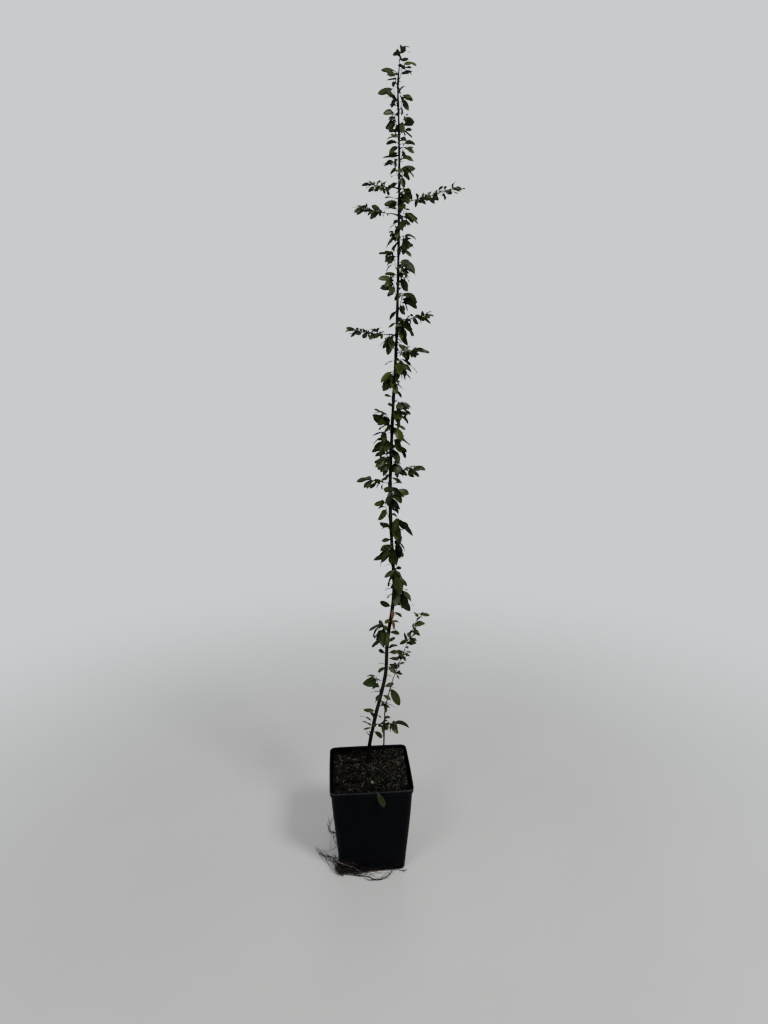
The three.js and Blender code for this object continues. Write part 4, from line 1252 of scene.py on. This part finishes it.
def twig_wood(grown, fine, finish):
    """Every spur and shoot with its side twigs, as tapering tubes that end in a point."""
    wood = Bundle()
    for tuft, twigs in grown:
        for k, line in enumerate(twigs):
            main = k == 0
            path = line(np.linspace(0, 1, WOOD["points" if main else "side_points"]))
            if main:
                path = np.vstack([tuft["inner"], path])  # begun inside the limb that carries it
            start = TWIG["root" if main and tuft["length"] > SHORT else "tip"]
            thinner = 1 if main and tuft["number"] < len(BOUGHS) else WOOD["thinner"]
            knots = 1 + WOOD["knots"] * np.sin(np.arange(len(path)) * WOOD["knot_pace"] + k)
            radii = np.linspace(start, TWIG["tip"] * thinner, len(path)) * knots
            radii[-1] = WOOD["point"]
            wood.tube(path, radii, WOOD["sides" if main else "side_sides"])
    share = np.linspace(0, 1, WOOD["side_points"])
    taper = FINE_TWIG["root"] + (FINE_TWIG["tip"] - FINE_TWIG["root"]) * share
    for line in fine:
        wood.tube(line(share), taper, WOOD["side_sides"])
    path = low_shoot_line()(np.linspace(0, 1, 14))
    path = np.vstack([path[:1] - UP * SEAT["in_compost"], path])
    wood.tube(path, np.linspace(TWIG["root"], LOW_SHOOT["tip"], len(path)), WOOD["sides"])
    return wood.piece("spurs_and_twigs", finish)


THORN = dict(taper=[1.35, 0.95, 0.78, 0.55, 0.3, 0.1], radius=0.42, thicker=0.018, hook=0.04,
             share=0.6, below=4, spacing=14, turn=60, sides=6)


def thorn_path(start, azimuth, rise, length):
    """A thorn's centre line: straight, with a slight downward hook at its tip."""
    t = np.array([0, 0.12, 0.35, 0.65, 0.88, 1.0])[:, None]
    return start + heading(azimuth, rise) * length * t - UP * (THORN["hook"] * length) * t**3


def stem_thorn(height, azimuth, rise, length, stations=LEADER):
    """A thorn that starts in the middle of a stem: its start, azimuth, rise and length."""
    return stem_place(stations, height)[0], azimuth, rise, length


def thorns(grown, finish):
    """Thorns at their own places, and more by rule beside the spurs and along the shoots."""
    draw = Draws(SEED + 2)
    spines = Bundle()
    rows = [stem_thorn(*row) for row in THORNS]
    for height, azimuth, *_ in TUFTS:
        if draw(0, 1) < THORN["share"]:
            turn = azimuth + draw(25, 70) * (1 if draw(0, 1) < 0.5 else -1)
            rows.append(stem_thorn(height - THORN["below"], turn, draw(-15, 25), draw(7, 15)))
    for tuft, twigs in grown:
        if tuft["length"] > SHORT:
            for share in np.arange(0.3, 0.96, THORN["spacing"] / tuft["length"]):
                turn = THORN["turn"] * (1 if draw(0, 1) < 0.5 else -1) + draw.about(20)
                place = twigs[0](share)[0]
                rows.append((place, tuft["azimuth"] + turn, draw(-30, 50), draw(4, 9)))
    taper = np.array(THORN["taper"])
    for row in rows:
        radius = THORN["radius"] + row[-1] * THORN["thicker"]
        spines.tube(thorn_path(*row), taper * radius, THORN["sides"])
    for row in SNAG:
        spines.tube(thorn_path(*stem_thorn(*row)), [1.2, 1.1, 0.9, 0.7, 0.55, 0.25], 7)
    piece = spines.piece("thorns", finish)


def smooth_path(places, steps):
    """A Catmull-Rom curve through places, led past each end by its neighbour mirrored."""
    p = np.array(places, float)
    p = np.vstack([2 * p[0] - p[1], p, 2 * p[-1] - p[-2]])
    t = (np.arange(steps) / steps)[:, None]
    parts = [
        0.5 * (2 * b + (c - a) * t + (2 * a - 5 * b + 4 * c - d) * t**2
               + (3 * b - a - 3 * c + d) * t**3)
        for a, b, c, d in zip(p, p[1:], p[2:], p[3:])]
    return np.vstack([*parts, p[-2:-1]])


def beside_pot(path, radius):
    """Moves a root out of the pot: away from its rounded wall, until there is room between."""
    side = wall_side(path[:, 2]) / 2
    corner = np.clip(np.abs(path[:, :2]) - side[:, None] * (1 - 2 * POT["corner"]), 0, None)
    reach = np.linalg.norm(corner, axis=1)
    away = reach - 2 * POT["corner"] * side - radius - ROOT["room"]
    outward = np.sign(path[:, :2]) * corner / np.maximum(reach, 1e-6)[:, None]
    path[:, :2] -= outward * np.minimum(away, 0)[:, None]


def root_mat(finish):
    """Strands of fine roots beside the pot: each a bunch of hairs that wander about one line."""
    rng = np.random.default_rng(60)
    mat = Bundle()
    low, high = (np.array(corner)[:2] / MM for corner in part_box("floor_roots"))
    for number, (strand, count) in enumerate(zip(FLOOR_ROOTS, ROOT_HAIRS)):
        base = smooth_path([(*place, ROOT["radius"])[:3] for place in strand], 12)
        length = np.linalg.norm(np.diff(base, axis=0), axis=1).sum()
        climbs = any(len(place) > 2 for place in strand)
        loose = ROOT["loose" if climbs else "flat"]
        s = np.linspace(0, 1, len(base))[:, None]
        for k in range(count):
            core = k == 0
            drift = rng.normal(0, 1, (4, 3)) * (1, 1, loose)
            wander = sum(drift[i] * np.sin(s * (i + 1) * (2.6 + length / 36) + rng.uniform(0, 6))
                         for i in range(4))
            path = base + wander * ROOT["core_stray" if core else "stray"]
            share = ROOT["core"] if core else rng.uniform(*ROOT["hair"])
            radius = ROOT["radius"] * share * np.linspace(1, ROOT["end"], len(base))
            path[:, 2] = np.maximum(np.abs(path[:, 2]), radius + 0.02)
            beside_pot(path, radius)
            path[:, :2] = np.clip(path[:, :2], low + 1, high - 1)
            ends = (0, len(base)) if core else rng.choice(len(base), 2, replace=False)
            first, last = sorted(ends)
            if last - first < ROOT["shortest"]:
                continue
            pale = core and number == PALE_STRAND
            tone = ROOT["pale"] if pale else rng.uniform(0, 1) ** 1.6 * ROOT["brown"]
            mat.tube(path[first:last], radius[first:last], ROOT["sides"], tone=tone)
    for tone, *strand in FINE_ROOTS:
        path = smooth_path([(*place, FINE_ROOT["radius"]) for place in strand], 8)
        path[1:-1, :2] += rng.normal(0, FINE_ROOT["stray"], (len(path) - 2, 2))
        radius = np.linspace(FINE_ROOT["radius"], FINE_ROOT["tip"], len(path))
        mat.tube(path, radius, ROOT["sides"], tone=tone)
    piece = mat.piece("root_strands", finish)
    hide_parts("floor_roots")


# ---- the leaves


# The leaves are joined by height: the name of a piece, and where it begins and ends.
BANDS = [("lower_foliage", 0, 420), ("middle_foliage", 420, 780), ("upper_foliage", 780, 2000)]


def foliage(finish, wood):
    """Grows every tuft by the rule, then the finer leaves, and joins them into pieces by height."""
    growth = Growth()
    tufts = planned_tufts(growth)
    grown, leaves = [], []
    for tuft in tufts:
        twigs, blades = grow_tuft(growth, tuft)
        grown.append((tuft, twigs))
        leaves += blades
    for place, *turns in LOW_LEAVES:
        leaf = leaf_frame(low_shoot_line()(place)[0], *turns)
        leaf.update(slim=LOW_SHOOT["slim"], tone=LOW_SHOOT["tone"])
        leaves.append(leaf)
        growth.keep(leaf_points(leaf), len(tufts))
    for tuft, twigs in grown:
        leaves += grow_finer(growth, tuft, twigs)
    leaves += grow_on_leader(growth)
    fine, young = [], []
    for tuft, twigs in grown:
        if tuft["name"] == "tip_leaves":
            continue  # the tip stays as slender as its solid
        lines, blades = grow_fine_twigs(growth, tuft, twigs)
        fine += lines
        young += blades
    piece = leaf_piece("small_leaves", young, finish, 73)
    piece = twig_wood(grown, fine, wood)
    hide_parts(*(tuft["name"] for tuft in tufts), "low_shoot_leaves")
    for k, (name, low, high) in enumerate(BANDS):
        here = [leaf for leaf in leaves if low <= leaf["root"][2] < high]
        piece = leaf_piece(name, here, finish, 70 + k)
        within = [tuft["name"] for tuft in tufts if low <= tuft["root"][2] < high]
        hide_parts(*within, *(["low_shoot_leaves"] if k == 0 else []))
    return grown


# ---- floor, light and camera


AMBIENT, BACKDROP = 0.27, 1.25  # strength of the surround as light, and as the camera sees it
FLOOR = dict(below=0.02, middle=20, edge=1500, rings=12, sides=96, fade=(0.3, 1.35))
LAMPS = [("key", (1.1, -1.35, 2.0), 0.6, 40), ("fill", (-1.05, -1.35, 1.9), 0.8, 14),
         ("back", (0.2, 1.6, 1.9), 1.2, 10)]  # name, place, size and power
AIM = (0.02, 0, 0.5)


def floor_and_light():
    """A pale floor that fades out, a pale surround, and large soft lamps."""
    f = Finish("pale_floor")
    cloud = f.noise(f.place(), 3.0, 4)
    f.set(Base_Color=f.ramp(cloud, (0.3, (0.66, 0.655, 0.635)), (0.7, (0.72, 0.715, 0.695))),
          Roughness=cloud * 0.1 + 0.6)
    length = f.node("ShaderNodeVectorMath", dict(operation="LENGTH"), {0: f.where()})
    away = Value(f, length.outputs["Value"]).between(*FLOOR["fade"])
    clear = f.node("ShaderNodeBsdfTransparent", {}, {}).outputs[0]
    fade = f.node("ShaderNodeMixShader", {}, {0: away, 1: f.shader.outputs[0], 2: clear})
    f.tree.links.new(fade.outputs[0], f.surface.inputs["Surface"])
    sides = FLOOR["sides"]
    angle = np.arange(sides) * 2 * np.pi / sides
    circle = np.stack([np.cos(angle), np.sin(angle)], -1)
    reach = np.linspace(FLOOR["middle"], FLOOR["edge"], FLOOR["rings"])
    flat = (circle[None] * reach[:, None, None]).reshape(-1, 2)
    verts = np.column_stack([flat, np.full(len(flat), -FLOOR["below"])])
    faces = grid_faces(FLOOR["rings"], sides)[:, ::-1].tolist() + [list(range(sides))]
    mesh = bpy.data.meshes.new("floor")
    mesh.from_pydata((verts * MM).tolist(), [], faces)
    mesh.materials.append(f.material)
    floor = bpy.data.objects.new("floor", mesh)
    bpy.context.scene.collection.objects.link(floor)

    world = bpy.data.worlds.new("surround")
    bpy.context.scene.world = world
    world.use_nodes = True
    world.node_tree.nodes.clear()
    tree = world.node_tree
    rays = add_node(tree, "ShaderNodeLightPath", {}, {})
    strength = add_node(tree, "ShaderNodeMapRange", {}, {
        "Value": rays.outputs["Is Camera Ray"], "To Min": AMBIENT, "To Max": BACKDROP})
    surround = add_node(tree, "ShaderNodeBackground", {}, {
        "Color": (0.9, 0.95, 0.98), "Strength": strength.outputs[0]})
    add_node(tree, "ShaderNodeOutputWorld", {}, {"Surface": surround.outputs[0]})
    for name, place, size, power in LAMPS:
        lamp = bpy.data.lights.new(name, "AREA")
        lamp.shape, lamp.size, lamp.energy = "DISK", size, power
        holder = bpy.data.objects.new(name, lamp)
        holder.location = place
        aim = Vector(AIM) - Vector(place)
        holder.rotation_euler = aim.to_track_quat("-Z", "Y").to_euler()
        bpy.context.scene.collection.objects.link(holder)


CAMERA = dict(place=(-0.0435, -0.9351, 0.733), forward=(0.0700, 0.9853, -0.1560), roll=0.0086,
              lens=23.65, shift=(0.00146, -0.0376))


def set_camera():
    """A camera at the height of a person's chest, a metre in front of the shrub."""
    lens = bpy.data.cameras.new("view")
    lens.sensor_width, lens.lens = 36, CAMERA["lens"]
    lens.shift_x, lens.shift_y = CAMERA["shift"]
    lens.clip_start, lens.clip_end = 0.01, 50
    forward = Vector(CAMERA["forward"]).normalized()
    right = forward.cross(Vector((0, 0, 1))).normalized()
    up = right.cross(forward)
    cos, sin = math.cos(CAMERA["roll"]), math.sin(CAMERA["roll"])
    x_axis, y_axis = right * cos - up * sin, right * sin + up * cos
    camera = bpy.data.objects.new("view", lens)
    turn = Matrix((x_axis, y_axis, -forward)).transposed().to_4x4()
    camera.matrix_world = Matrix.Translation(Vector(CAMERA["place"])) @ turn
    bpy.context.scene.collection.objects.link(camera)
    bpy.context.scene.camera = camera


# ---- the whole


set_camera()
floor_and_light()
pot_piece(pot_finish())
compost_piece(compost_finish())
compost_dressing()
bark = bark_finish()
wood = twig_finish("young_wood", (0.006, 0.0038, 0.0028), (0.02, 0.013, 0.008))
grown = foliage(leaf_finish(), wood)
stems(bark)
boughs(wood)
thorns(grown, twig_finish("thorn_wood", (0.008, 0.005, 0.0036), (0.035, 0.024, 0.015)))
root_mat(root_finish())
